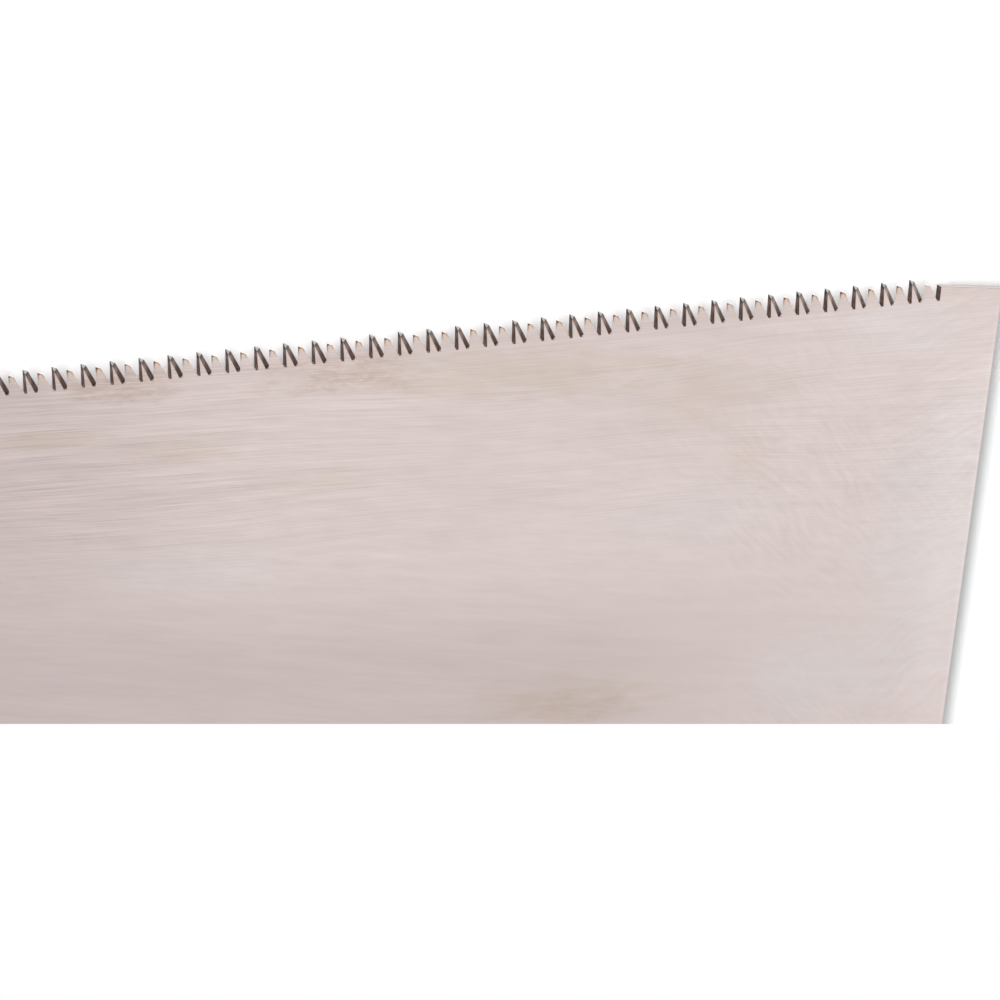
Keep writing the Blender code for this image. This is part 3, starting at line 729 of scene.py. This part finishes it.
def lofted(rings, hollow=False):
    """Skins equal rings of points; a hollow loft closes on itself instead of taking end caps."""
    shape = bmesh.new()
    rows = [[shape.verts.new(point) for point in ring] for ring in rings]
    for near, far in neighbours(rows, hollow):
        for (near_first, far_first), (near_next, far_next) in neighbours(list(zip(near, far)), True):
            shape.faces.new((near_first, near_next, far_next, far_first))
    if not hollow:
        shape.faces.new(rows[0])
        shape.faces.new(rows[-1])
    return shape


def prism(outline, rise):
    shape = bmesh.new()
    face = shape.faces.new([shape.verts.new(point) for point in outline])
    grown = bmesh.ops.extrude_face_region(shape, geom=[face], use_keep_orig=True)
    moved = [item for item in grown["geom"] if isinstance(item, bmesh.types.BMVert)]
    bmesh.ops.translate(shape, vec=rise, verts=moved)
    return shape


def rectangle(low, high, z):
    return [(low[0], low[1], z), (high[0], low[1], z), (high[0], high[1], z), (low[0], high[1], z)]


def box(low, high):
    return prism(rectangle(low, high, low[2]), (0.0, 0.0, high[2] - low[2]))


def turned(profile, x, steps, ring=False):
    """Spins (radius, z) points about an upright axis; a ring's profile is a closed loop."""
    shape = bmesh.new()
    points = [shape.verts.new((radius, 0.0, z)) for radius, z in profile]
    edges = [shape.edges.new(pair) for pair in neighbours(points, ring)]
    bmesh.ops.spin(
        shape, geom=points + edges, cent=(0.0, 0.0, 0.0), axis=(0.0, 0.0, 1.0),
        angle=math.tau, steps=steps, use_merge=True,
    )
    bmesh.ops.remove_doubles(shape, verts=shape.verts, dist=WELD)
    bmesh.ops.translate(shape, vec=(x, 0.0, 0.0), verts=shape.verts)
    return shape


def bore(radius, x, steps):
    """Upright round cutter that runs past the whole saw."""
    reach = 2 * CUT_OVER
    return turned([(0.0, -reach), (radius, -reach), (radius, reach), (0.0, reach)], x, steps)


def arc(middle, radius, start, end, steps):
    angles = [start + (end - start) * step / steps for step in range(steps + 1)]
    return [(middle[0] + radius * math.cos(a), middle[1] + radius * math.sin(a)) for a in angles]


def linked(name, data):
    """New object in the scene with this data."""
    made = bpy.data.objects.new(name, data)
    bpy.context.scene.collection.objects.link(made)
    return made


def mesh_of(name, shape):
    """Mesh with outward normals, which takes the place of the shape."""
    bmesh.ops.recalc_face_normals(shape, faces=shape.faces)
    mesh = bpy.data.meshes.new(name)
    shape.to_mesh(mesh)
    shape.free()
    return mesh


def helper_object(shape):
    return linked("helper", mesh_of("helper", shape))


def carved(shape, tools, operation="DIFFERENCE"):
    """Result of exact Booleans of a shape with each tool in turn."""
    target = helper_object(shape)
    helpers = [helper_object(tool) for tool in tools]
    for helper in helpers:
        modifier = target.modifiers.new("carve", "BOOLEAN")
        modifier.operation = operation
        modifier.solver = "EXACT"
        modifier.object = helper
    bpy.context.view_layer.update()
    result = bmesh.new()
    result.from_object(target, bpy.context.evaluated_depsgraph_get())
    for helper in [target] + helpers:
        bpy.data.objects.remove(helper, do_unlink=True)
    if not result.faces:
        raise RuntimeError("a Boolean left nothing of a piece")
    return result


def soften_edges(shape, width):
    """Rounds the sharp edges of a shape."""
    bmesh.ops.remove_doubles(shape, verts=shape.verts, dist=WELD)
    bmesh.ops.dissolve_limit(shape, angle_limit=FLAT_ANGLE, verts=shape.verts, edges=shape.edges)
    sharp = [edge for edge in shape.edges if edge.calc_face_angle(0.0) > SHARP_ANGLE]
    bmesh.ops.bevel(
        shape, geom=sharp, offset=width, offset_type="OFFSET", segments=3, profile=0.5,
        affect="EDGES", clamp_overlap=True,
    )
    return shape


def dress(name, shape, material, body, node):
    """Turns a shape in the saw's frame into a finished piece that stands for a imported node."""
    shape.transform(SAW_PLACE)
    mesh = mesh_of(name, shape)
    mesh.shade_smooth()
    mesh.set_sharp_from_angle(angle=SMOOTH_ANGLE)
    mesh.materials.append(material)
    made = linked(name, mesh)
    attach(made, body)
    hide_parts(node)


# Blade


def face_finish(normal):
    """Index of the finish of a blade face: plate, bevel, top facet or wall."""
    if abs(normal.z) > FLAT_FACE:
        return 0
    if abs(normal.z) < UPRIGHT_FACE:
        return 3
    outward = abs(normal.y) * math.cos(FLARE) - normal.x * math.sin(FLARE)
    return 2 if outward > TOP_FACET * math.hypot(normal.x, normal.y) else 1


def dress_blade(look):
    """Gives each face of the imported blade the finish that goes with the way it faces."""
    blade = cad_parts["blade"]
    mesh = blade.data
    mesh.materials.clear()
    for material in (plate_steel(look), bevel_steel(look), facet_steel(look), wall_steel(look)):
        mesh.materials.append(material)
    for face in mesh.polygons:
        face.material_index = face_finish(face.normal)


# Holder and its fasteners


def holder_shape():
    """Folded channel with a rounded front corner and two bores."""
    bend = (-WEB_OUTER + BEND_RADIUS, CHEEK_OUTER - BEND_RADIUS)
    outside = [(TANG_HALF, CHEEK_OUTER)] + arc(bend, BEND_RADIUS, math.pi / 2, math.pi, 6)
    inside = [(-WEB_INNER, CHEEK_INNER), (TANG_HALF, CHEEK_INNER)]
    outside += [(y, -z) for y, z in reversed(outside)]
    inside = [(y, -z) for y, z in reversed(inside)] + inside
    section = [(-HOLDER_EMBED, y, z) for y, z in outside + inside]
    folded = prism(section, (HOLDER_EMBED + HOLDER_FRONT, 0.0, 0.0))
    corner = (HOLDER_FRONT - HOLDER_CORNER, TANG_HALF - HOLDER_CORNER)
    rear = -HOLDER_EMBED - CUT_OVER
    web_side = -WEB_OUTER - CUT_OVER
    plan = [(rear, TANG_HALF), (rear, web_side), (HOLDER_FRONT, web_side)]
    plan += arc(corner, HOLDER_CORNER, 0.0, math.pi / 2, 12)
    reach = CHEEK_OUTER + CUT_OVER
    trim = prism([(x, y, -reach) for x, y in plan], (0.0, 0.0, 2 * reach))
    folded = carved(folded, [trim], "INTERSECT")
    bores = [bore(HOOK_BORE, HOOK, HOLDER_BORE_STEPS), bore(SCREW_BORE, SCREW, HOLDER_BORE_STEPS)]
    return soften_edges(carved(folded, bores), EDGE_ROUND)


def rounded_loop(inner, outer, low, high, edge):
    """Closed (radius, z) section of a washer with rounded outer edges."""
    loop = [(inner, low)]
    loop += arc((outer - edge, low + edge), edge, -math.pi / 2, 0.0, 4)
    loop += arc((outer - edge, high - edge), edge, 0.0, math.pi / 2, 4)
    loop.append((inner, high))
    return loop


def domed_profile(radius, height, base, steps=8):
    angles = [math.pi / 2 * step / steps for step in range(steps + 1)]
    return [(radius * math.sin(a), base + height * math.cos(a)) for a in angles]


def mirrored(upper):
    """Profile of a piece whose lower half mirrors this upper one."""
    return upper + [(radius, -z) for radius, z in reversed(upper)]


def levels(node):
    """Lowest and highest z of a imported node, from the plate's middle."""
    low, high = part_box(node)
    return low.z - MIDDLE, high.z - MIDDLE


def outer_radius(node):
    low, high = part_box(node)
    return (high.x - low.x) / 2


def rivet_shape(steps):
    """Rivet with a domed head on either side."""
    _, crown = levels("hook_pin")
    upper = domed_profile(outer_radius("hook_pin"), crown - CHEEK_OUTER, CHEEK_OUTER)
    upper.append((HOOK_BORE, CHEEK_OUTER))
    return turned(mirrored(upper), HOOK, steps)


def washer_shape(steps):
    _, high = levels("clamp_washer")
    loop = rounded_loop(WASHER_BORE, outer_radius("clamp_washer"), CHEEK_OUTER, high, EDGE_ROUND)
    return turned(loop, SCREW, steps, ring=True)


def spring_shape(steps):
    """Split ring with a slanting cut."""
    low = levels("clamp_washer")[1]
    high = levels("clamp_screw")[1] - HEAD_HEIGHT - HEAD_GAP
    outer = outer_radius("spring_washer")
    coil = turned(rounded_loop(WASHER_BORE, outer, low, high, EDGE_ROUND), SCREW, steps, ring=True)
    lean = high - low
    half = SPRING_SPLIT / 2
    side = [(-half - lean, low - lean), (half - lean, low - lean),
            (half + 2 * lean, high + lean), (-half + 2 * lean, high + lean)]
    cut = prism([(SCREW, y, z) for y, z in side], (outer + CUT_OVER, 0.0, 0.0))
    return carved(coil, [cut])


def threaded_rod(low, high, steps):
    """Rod whose surface follows one helical thread."""
    rows = []
    count = int((high - low) / (SCREW_PITCH / 8))
    for row in range(count + 1):
        z = low + (high - low) * row / count
        ring = []
        for step in range(steps):
            turn = step / steps
            phase = ((z - low) / SCREW_PITCH - turn) % 1.0
            groove = THREAD_DEPTH * (1 - abs(2 * phase - 1))
            end = max(0.0, THREAD_DEPTH - (z - low))
            radius = SCREW_RADIUS - max(groove, end)
            angle = math.tau * turn
            ring.append((SCREW + radius * math.cos(angle), radius * math.sin(angle), z))
        rows.append(ring)
    return lofted(rows)


def screw_head(low, high, steps):
    """Low crowned head with rounded edges."""
    radius = outer_radius("clamp_screw")
    rim = 2 * EDGE_ROUND
    profile = [(0.0, high)]
    profile += [(radius * share, high - HEAD_CROWN * share ** 2) for share in (0.3, 0.6, 0.85)]
    profile += arc((radius - rim, high - HEAD_CROWN - rim), rim, math.pi / 2, 0.0, 4)
    profile += arc((radius - EDGE_ROUND, low + EDGE_ROUND), EDGE_ROUND, 0.0, -math.pi / 2, 3)
    profile.append((0.0, low))
    return turned(profile, SCREW, steps)


def screw_shape(steps):
    """Slotted head with its threaded shank."""
    low, high = levels("clamp_screw")
    head_low = high - HEAD_HEIGHT
    reach = 2 * outer_radius("clamp_screw")
    slot_low = (SCREW - reach, -SLOT_WIDTH / 2, high - SLOT_DEPTH)
    slot = box(slot_low, (SCREW + reach, SLOT_WIDTH / 2, high + CUT_OVER))
    head = carved(screw_head(head_low, high, steps), [slot])
    shank = helper_object(threaded_rod(low, head_low + SCREW_PITCH, steps))
    head.from_mesh(shank.data)
    bpy.data.objects.remove(shank, do_unlink=True)
    return head


def nut_shape(steps):
    """Hexagon nut with chamfered corners and a plain bore, cut by one ring that runs past its ends."""
    low, _ = levels("clamp_nut")
    high = -CHEEK_OUTER
    corner = outer_radius("clamp_nut")
    angles = [math.tau * step / 6 for step in range(6)]
    plan = [(SCREW + corner * math.cos(angle), corner * math.sin(angle), low) for angle in angles]
    block = prism(plan, (0.0, 0.0, high - low))
    bottom = low - EDGE_ROUND
    top = high + EDGE_ROUND
    mouth = SCREW_RADIUS + EDGE_ROUND
    end = corner * math.cos(math.pi / 6) - 2 * EDGE_ROUND
    rim = corner + EDGE_ROUND
    drop = NUT_CHAMFER * (rim - end)
    loop = [(mouth, bottom), (end, bottom), (rim, bottom + drop)]
    loop += [(rim, top - drop), (end, top), (mouth, top)]
    return carved(block, [turned(loop, SCREW, steps, ring=True)], "INTERSECT")


# Handle


def handle_half_sizes(behind):
    """Half width and half thickness of the handle, which swells to the butt."""
    share = (behind - WRAP_END) / BUTT_FLARE
    share = min(max(share, 0.0), 1.0)
    share = share * share * (3 - 2 * share)
    return GRIP_WIDE + (BUTT_WIDE - GRIP_WIDE) * share, GRIP_THICK + (BUTT_THICK - GRIP_THICK) * share


def handle_stations():
    """Distance behind the mouth and inset of each section, with a rounded butt edge at the end."""
    stations = [(0.0, 0.0), (WRAP_END, 0.0)]
    swell = BUTT_FLARE - BUTT_ROUND
    for step in range(1, SWELL_STEPS + 1):
        stations.append((WRAP_END + swell * step / SWELL_STEPS, 0.0))
    for step in range(1, BUTT_STEPS + 1):
        angle = math.pi / 2 * step / BUTT_STEPS
        behind = HANDLE_LENGTH - BUTT_ROUND * (1 - math.sin(angle))
        stations.append((behind, BUTT_ROUND * (1 - math.cos(angle))))
    return stations


def half_angles():
    """Angles round a half, with one more beside each seam edge for its chamfer."""
    edge = math.asin((SEAM_CHAMFER / GRIP_THICK) ** (OVAL_POWER / 2))
    steps = OVAL_STEPS // 2
    between = [math.pi * step / steps for step in range(1, steps)]
    return [0.0, edge] + between + [math.pi - edge, math.pi]


def half_handle_shape(side):
    """Half of the oval handle, chamfered along its seam."""
    rings = []
    for behind, inset in handle_stations():
        half_wide, half_thick = handle_half_sizes(behind)
        ring = []
        for angle in half_angles():
            y, z = oval_point(half_wide - inset, half_thick - inset - SEAM_HALF, angle)
            z = abs(z)
            chamfer = max(0.0, SEAM_CHAMFER - z)
            ring.append((-behind, y - math.copysign(chamfer, y), side * (z + SEAM_HALF)))
        rings.append(ring)
    return lofted(rings)


def handle_half(side):
    """Half handle with its pocket for the holder and the bores of the cross pins."""
    low = (-HOLDER_EMBED - CLEARANCE, -WEB_OUTER - CLEARANCE, -CHEEK_OUTER - CLEARANCE)
    high = (CUT_OVER, TANG_HALF + CLEARANCE, CHEEK_OUTER + CLEARANCE)
    tools = [box(low, high)]
    for node in ("handle_pin_front", "handle_pin_rear"):
        tools.append(bore(PIN_BORE, from_mouth(node), PIN_BORE_STEPS))
    return carved(half_handle_shape(side), tools)


def oval_ring(offset, behind):
    ring = []
    for step in range(OVAL_STEPS):
        y, z = oval_point(GRIP_WIDE + offset, GRIP_THICK + offset, math.tau * step / OVAL_STEPS)
        ring.append((-behind, y, z))
    return ring


def ferrule_shape():
    """Oval band with rolled edges and two shallow grooves."""
    level = BAND_OFFSET - FERRULE_EDGE
    section = arc((FERRULE_EDGE, level), FERRULE_EDGE, math.pi, math.pi / 2, 5)
    for middle in (GROOVE_INSET, FERRULE_LENGTH - GROOVE_INSET):
        for aside, sunk in ((-2, 0), (-1, 1), (1, 1), (2, 0)):
            section.append((middle + aside * GROOVE, BAND_OFFSET - sunk * GROOVE))
    section += arc((FERRULE_LENGTH - FERRULE_EDGE, level), FERRULE_EDGE, math.pi / 2, 0.0, 5)
    inner = CLEARANCE / 6
    section += [(FERRULE_LENGTH, inner), (0.0, inner)]
    return lofted([oval_ring(offset, behind) for behind, offset in section], hollow=True)


def strip_section(width):
    """Loop of (across, offset) points: a flat back and a domed face."""
    base = CLEARANCE / 4
    shoulder = 0.62 * BAND_OFFSET
    loop = [(-width / 2, base)]
    for step in range(9):
        share = 2 * step / 8 - 1
        dome = math.sqrt(max(0.0, 1 - share ** 4))
        loop.append((0.5 * width * share, shoulder + (BAND_OFFSET - shoulder) * dome))
    loop.append((width / 2, base))
    return loop


def strip_shape(look):
    """Cane strip wound in one helix a little past each tack, with its run and side stored as UVs."""
    section = strip_section(look.strip_width)
    room = WRAP_END - WRAP_START - look.strip_width
    turns = round(room / look.strip_pitch) + 2 * WRAP_TAIL
    length = math.pi * (GRIP_WIDE + GRIP_THICK) * turns * MM
    count = round(turns * WRAP_STEPS)
    rings = []
    for step in range(count + 1):
        share = step / count
        angle = math.pi / 2 + math.tau * (turns * share - WRAP_TAIL)
        behind = WRAP_START + look.strip_width / 2 + room * share
        ring = []
        for across, offset in section:
            y, z = oval_point(GRIP_WIDE + offset, GRIP_THICK + offset, angle)
            ring.append((-behind - across, y, z))
        rings.append(ring)
    shape = lofted(rings)
    shape.verts.index_update()
    layer = shape.loops.layers.uv.new("strip")
    corners = [corner for face in shape.faces if len(face.verts) == 4 for corner in face.loops]
    for corner in corners:
        step, index = divmod(corner.vert.index, len(section))
        corner[layer].uv = (length * step / count, section[index][0] * MM)
    return shape


def pin_shape(node, steps):
    """Cross pin with domed ends."""
    _, top = levels(node)
    upper = domed_profile(PIN_RADIUS, PIN_DOME, top - PIN_DOME, 5)
    return turned(mirrored(upper), from_mouth(node), steps)


def tack_shape(node, steps):
    """Tack with a domed head and a pointed shank."""
    low, high = levels(node)
    seat = GRIP_THICK + BAND_OFFSET - CLEARANCE / 3
    profile = domed_profile(outer_radius(node), high - seat, seat, 6)
    profile += [(TACK_SHANK, seat), (TACK_SHANK, low + 2 * TACK_SHANK), (0.0, low)]
    return turned(profile, from_mouth(node), steps)


# Stage


def tooth_line_frame():
    """Frame at the last crosscut tip: along the tooth line, out from it, and up."""
    place = Matrix.Rotation(FLARE, 4, "Z")
    place.translation = LAST_TIP
    return place


def place_camera():
    """Camera at the photograph's viewing angle."""
    camera = linked("photo_camera", bpy.data.cameras.new("photo_camera"))
    camera.data.sensor_width = SENSOR
    camera.data.lens = FOCAL_PIXELS * SENSOR / PICTURE_PIXELS
    camera.data.clip_start = CARD_AHEAD / 2
    turn = Matrix.Rotation(CAMERA_SWING, 3, "Y") @ Matrix.Rotation(CAMERA_TILT, 3, "X")
    turn = (turn @ Matrix.Rotation(CAMERA_ROLL, 3, "Z")).transposed()
    seen_from = turn.to_4x4()
    seen_from.translation = turn @ CAMERA_OFFSET
    camera.matrix_world = tooth_line_frame() @ seen_from
    bpy.context.scene.camera = camera
    return camera


def stage_object(name, corners, material):
    mesh = bpy.data.meshes.new(name)
    mesh.from_pydata(corners, [], [tuple(range(len(corners)))])
    mesh.materials.append(material)
    made = linked(name, mesh)
    return made


def seen_rays(nodes):
    """One for rays that show the background: from the camera, in gloss and through glass."""
    rays = nodes.add("ShaderNodeLightPath").outputs
    straight = nodes.math("MAXIMUM", rays["Is Camera Ray"], rays["Is Glossy Ray"])
    return nodes.math("MAXIMUM", straight, rays["Is Transmission Ray"])


def floor_material(look):
    nodes = Surface("floor_paper", 0.9)
    grain = nodes.place().noise((3.0, 3.0, 3.0))
    nodes.feed("Specular IOR Level", 0.0)
    nodes.feed("Base Color", nodes.shade(tuple(look.floor), grain.around_one(0.01)))
    nodes.feed("Emission Color", WHITE)
    nodes.feed("Emission Strength", seen_rays(nodes) * look.floor_glow)
    return nodes.owner


def place_floor(look):
    corners = rectangle((-FLOOR_HALF, -FLOOR_HALF), (FLOOR_HALF, FLOOR_HALF), 0.0)
    stage_object("floor", corners, floor_material(look))


def white_card_material():
    nodes = Nodes(bpy.data.materials.new("white_card"))
    glow = nodes.add("ShaderNodeEmission", [WHITE])
    nodes.put(nodes.tree.nodes["Material Output"].inputs["Surface"], glow.outputs[0])
    return nodes.owner


def place_lens_card(camera):
    """Small white card before the lens, which ends the picture at the photograph's last row."""
    per_pixel = CARD_AHEAD / FOCAL_PIXELS
    top = (PICTURE_PIXELS / 2 - PICTURE_END_ROW) * per_pixel
    side = CARD_REACH * per_pixel
    corners = rectangle((-side, -side), (side, top), -CARD_AHEAD)
    card = stage_object("lens_card", corners, white_card_material())
    card.matrix_world = camera.matrix_world.copy()
    card.visible_diffuse = False
    card.visible_glossy = False
    card.visible_shadow = False


def light_world(look):
    """White background; gloss shows a studio that darkens to the horizon, and the rest gets soft fill."""
    nodes = Nodes(bpy.data.worlds.new("studio"))
    rays = nodes.add("ShaderNodeLightPath").outputs
    _, _, height = nodes.coordinates("Generated").parts()
    gloss = height.span(0.0, 0.5, look.horizon)
    strength = 1.0 - look.key_share
    for ray, level in (("Is Glossy Ray", gloss), ("Is Transmission Ray", 1.0), ("Is Camera Ray", 1.0)):
        choice = nodes.add("ShaderNodeMix")
        for index, value in ((0, rays[ray]), (2, strength), (3, level)):
            nodes.put(choice.inputs[index], value)
        strength = choice.outputs[0]
    background = nodes.tree.nodes["Background"]
    background.inputs["Color"].default_value = WHITE
    nodes.put(background.inputs["Strength"], strength)
    bpy.context.scene.world = nodes.owner


def place_key(look):
    """Soft sun from the crosscut side, a little to the heel, so shadows fall behind the blade."""
    lamp = bpy.data.lights.new("key", "SUN")
    lamp.angle = look.key_angle
    lamp.energy = look.key_share * math.pi * KEY_SLOPE.length
    key = linked("key", lamp)
    key.rotation_euler = KEY_SLOPE.to_track_quat("Z", "Y").to_euler()
    key.visible_camera = False
    key.visible_glossy = False


# Operators


class RYOBA_OT_stage(bpy.types.Operator):
    """Set the camera, the floor and the light"""

    bl_idname = "ryoba.stage"
    bl_label = "Stage"

    def execute(self, context):
        look = context.scene.ryoba_stage
        context.scene.view_settings.view_transform = "Standard"
        camera = place_camera()
        place_lens_card(camera)
        place_floor(look)
        light_world(look)
        place_key(look)
        return {"FINISHED"}


class RYOBA_OT_blade(bpy.types.Operator):
    """Give the faces of the blade their steel finishes"""

    bl_idname = "ryoba.blade"
    bl_label = "Blade"

    def execute(self, context):
        dress_blade(context.scene.ryoba_blade)
        return {"FINISHED"}


class RYOBA_OT_holder(bpy.types.Operator):
    """Build the folded holder and its hook rivet"""

    bl_idname = "ryoba.holder"
    bl_label = "Holder and hook rivet"

    def execute(self, context):
        look = context.scene.ryoba_fittings
        steel = plated_steel(look, "holder_steel", HOLDER_BRUSHING)
        dress("folded_holder", holder_shape(), steel, "handle", "blade_holder")
        rivet = rivet_shape(look.round_steps)
        dress("hook_rivet", rivet, dull_steel(look), "handle", "hook_pin")
        return {"FINISHED"}


class RYOBA_OT_clamp(bpy.types.Operator):
    """Build the clamp screw, its washers and its nut"""

    bl_idname = "ryoba.clamp"
    bl_label = "Clamp screw, washers and nut"

    def execute(self, context):
        look = context.scene.ryoba_fittings
        steps = look.round_steps
        steel = plated_steel(look, "clamp_steel", CLAMP_BRUSHING)
        dress("plain_washer", washer_shape(steps), steel, "clamp_washer", "clamp_washer")
        spring = spring_shape(steps)
        dress("split_washer", spring, dull_steel(look), "clamp_washer", "spring_washer")
        dress("slotted_screw", screw_shape(steps), steel, "clamp_screw", "clamp_screw")
        dress("hexagon_nut", nut_shape(steps), steel, "handle", "clamp_nut")
        return {"FINISHED"}


class RYOBA_OT_handle(bpy.types.Operator):
    """Build the two wooden halves of the handle"""

    bl_idname = "ryoba.handle"
    bl_label = "Handle halves"

    def execute(self, context):
        look = context.scene.ryoba_handle
        upper = handle_wood(look, "upper_wood", UPPER_PITH)
        lower = handle_wood(look, "lower_wood", LOWER_PITH)
        dress("upper_wood_half", handle_half(1), upper, "handle", "handle_upper_half")
        dress("lower_wood_half", handle_half(-1), lower, "handle", "handle_lower_half")
        return {"FINISHED"}


class RYOBA_OT_ferrule(bpy.types.Operator):
    """Build the steel band round the mouth of the handle"""

    bl_idname = "ryoba.ferrule"
    bl_label = "Ferrule"

    def execute(self, context):
        steel = plated_steel(context.scene.ryoba_fittings, "ferrule_steel", FERRULE_BRUSHING)
        dress("oval_ferrule", ferrule_shape(), steel, "handle", "ferrule")
        return {"FINISHED"}


class RYOBA_OT_winding(bpy.types.Operator):
    """Wind the cane strip round the grip"""

    bl_idname = "ryoba.winding"
    bl_label = "Cane winding"

    def execute(self, context):
        look = context.scene.ryoba_handle
        dress("cane_strip", strip_shape(look), cane_skin(look), "handle", "rattan_wrap")
        return {"FINISHED"}


class RYOBA_OT_pins(bpy.types.Operator):
    """Build the cross pins of the handle and the tacks of the winding"""

    bl_idname = "ryoba.pins"
    bl_label = "Pins and tacks"

    def execute(self, context):
        look = context.scene.ryoba_fittings
        steel = dull_steel(look)
        for end in ("front", "rear"):
            node = f"handle_pin_{end}"
            pin = pin_shape(node, look.round_steps)
            dress(f"cross_pin_{end}", pin, steel, "handle", node)
            node = f"wrap_tack_{end}"
            tack = tack_shape(node, look.round_steps)
            dress(f"domed_tack_{end}", tack, steel, "handle", node)
        return {"FINISHED"}


class RYOBA_PT_saw(bpy.types.Panel):
    """Lists the pieces of the saw"""

    bl_idname = "RYOBA_PT_saw"
    bl_label = "Ryoba saw"
    bl_space_type = "VIEW_3D"
    bl_region_type = "UI"
    bl_category = "Ryoba saw"

    def draw(self, context):
        for operator in OPERATORS:
            self.layout.operator(operator.bl_idname)
        for name in LOOKS:
            group = getattr(context.scene, name)
            part = self.layout.box()
            for setting in group.bl_rna.properties:
                if setting.identifier not in ("rna_type", "name"):
                    part.prop(group, setting.identifier)


OPERATORS = (
    RYOBA_OT_stage, RYOBA_OT_blade, RYOBA_OT_holder, RYOBA_OT_clamp, RYOBA_OT_handle,
    RYOBA_OT_ferrule, RYOBA_OT_winding, RYOBA_OT_pins,
)
LOOKS = {
    "ryoba_blade": BladeLook,
    "ryoba_handle": HandleLook,
    "ryoba_fittings": FittingLook,
    "ryoba_stage": StageLook,
}


def register():
    for name, group in LOOKS.items():
        bpy.utils.register_class(group)
        setattr(bpy.types.Scene, name, PointerProperty(type=group))
    for operator in OPERATORS:
        bpy.utils.register_class(operator)
    bpy.utils.register_class(RYOBA_PT_saw)


def unregister():
    bpy.utils.unregister_class(RYOBA_PT_saw)
    for operator in reversed(OPERATORS):
        bpy.utils.unregister_class(operator)
    for name, group in LOOKS.items():
        delattr(bpy.types.Scene, name)
        bpy.utils.unregister_class(group)


def main():
    register()
    bpy.ops.ryoba.stage()
    bpy.ops.ryoba.blade()
    bpy.ops.ryoba.holder()
    bpy.ops.ryoba.clamp()
    bpy.ops.ryoba.handle()
    bpy.ops.ryoba.ferrule()
    bpy.ops.ryoba.winding()
    bpy.ops.ryoba.pins()


if __name__ == "__main__":
    main()
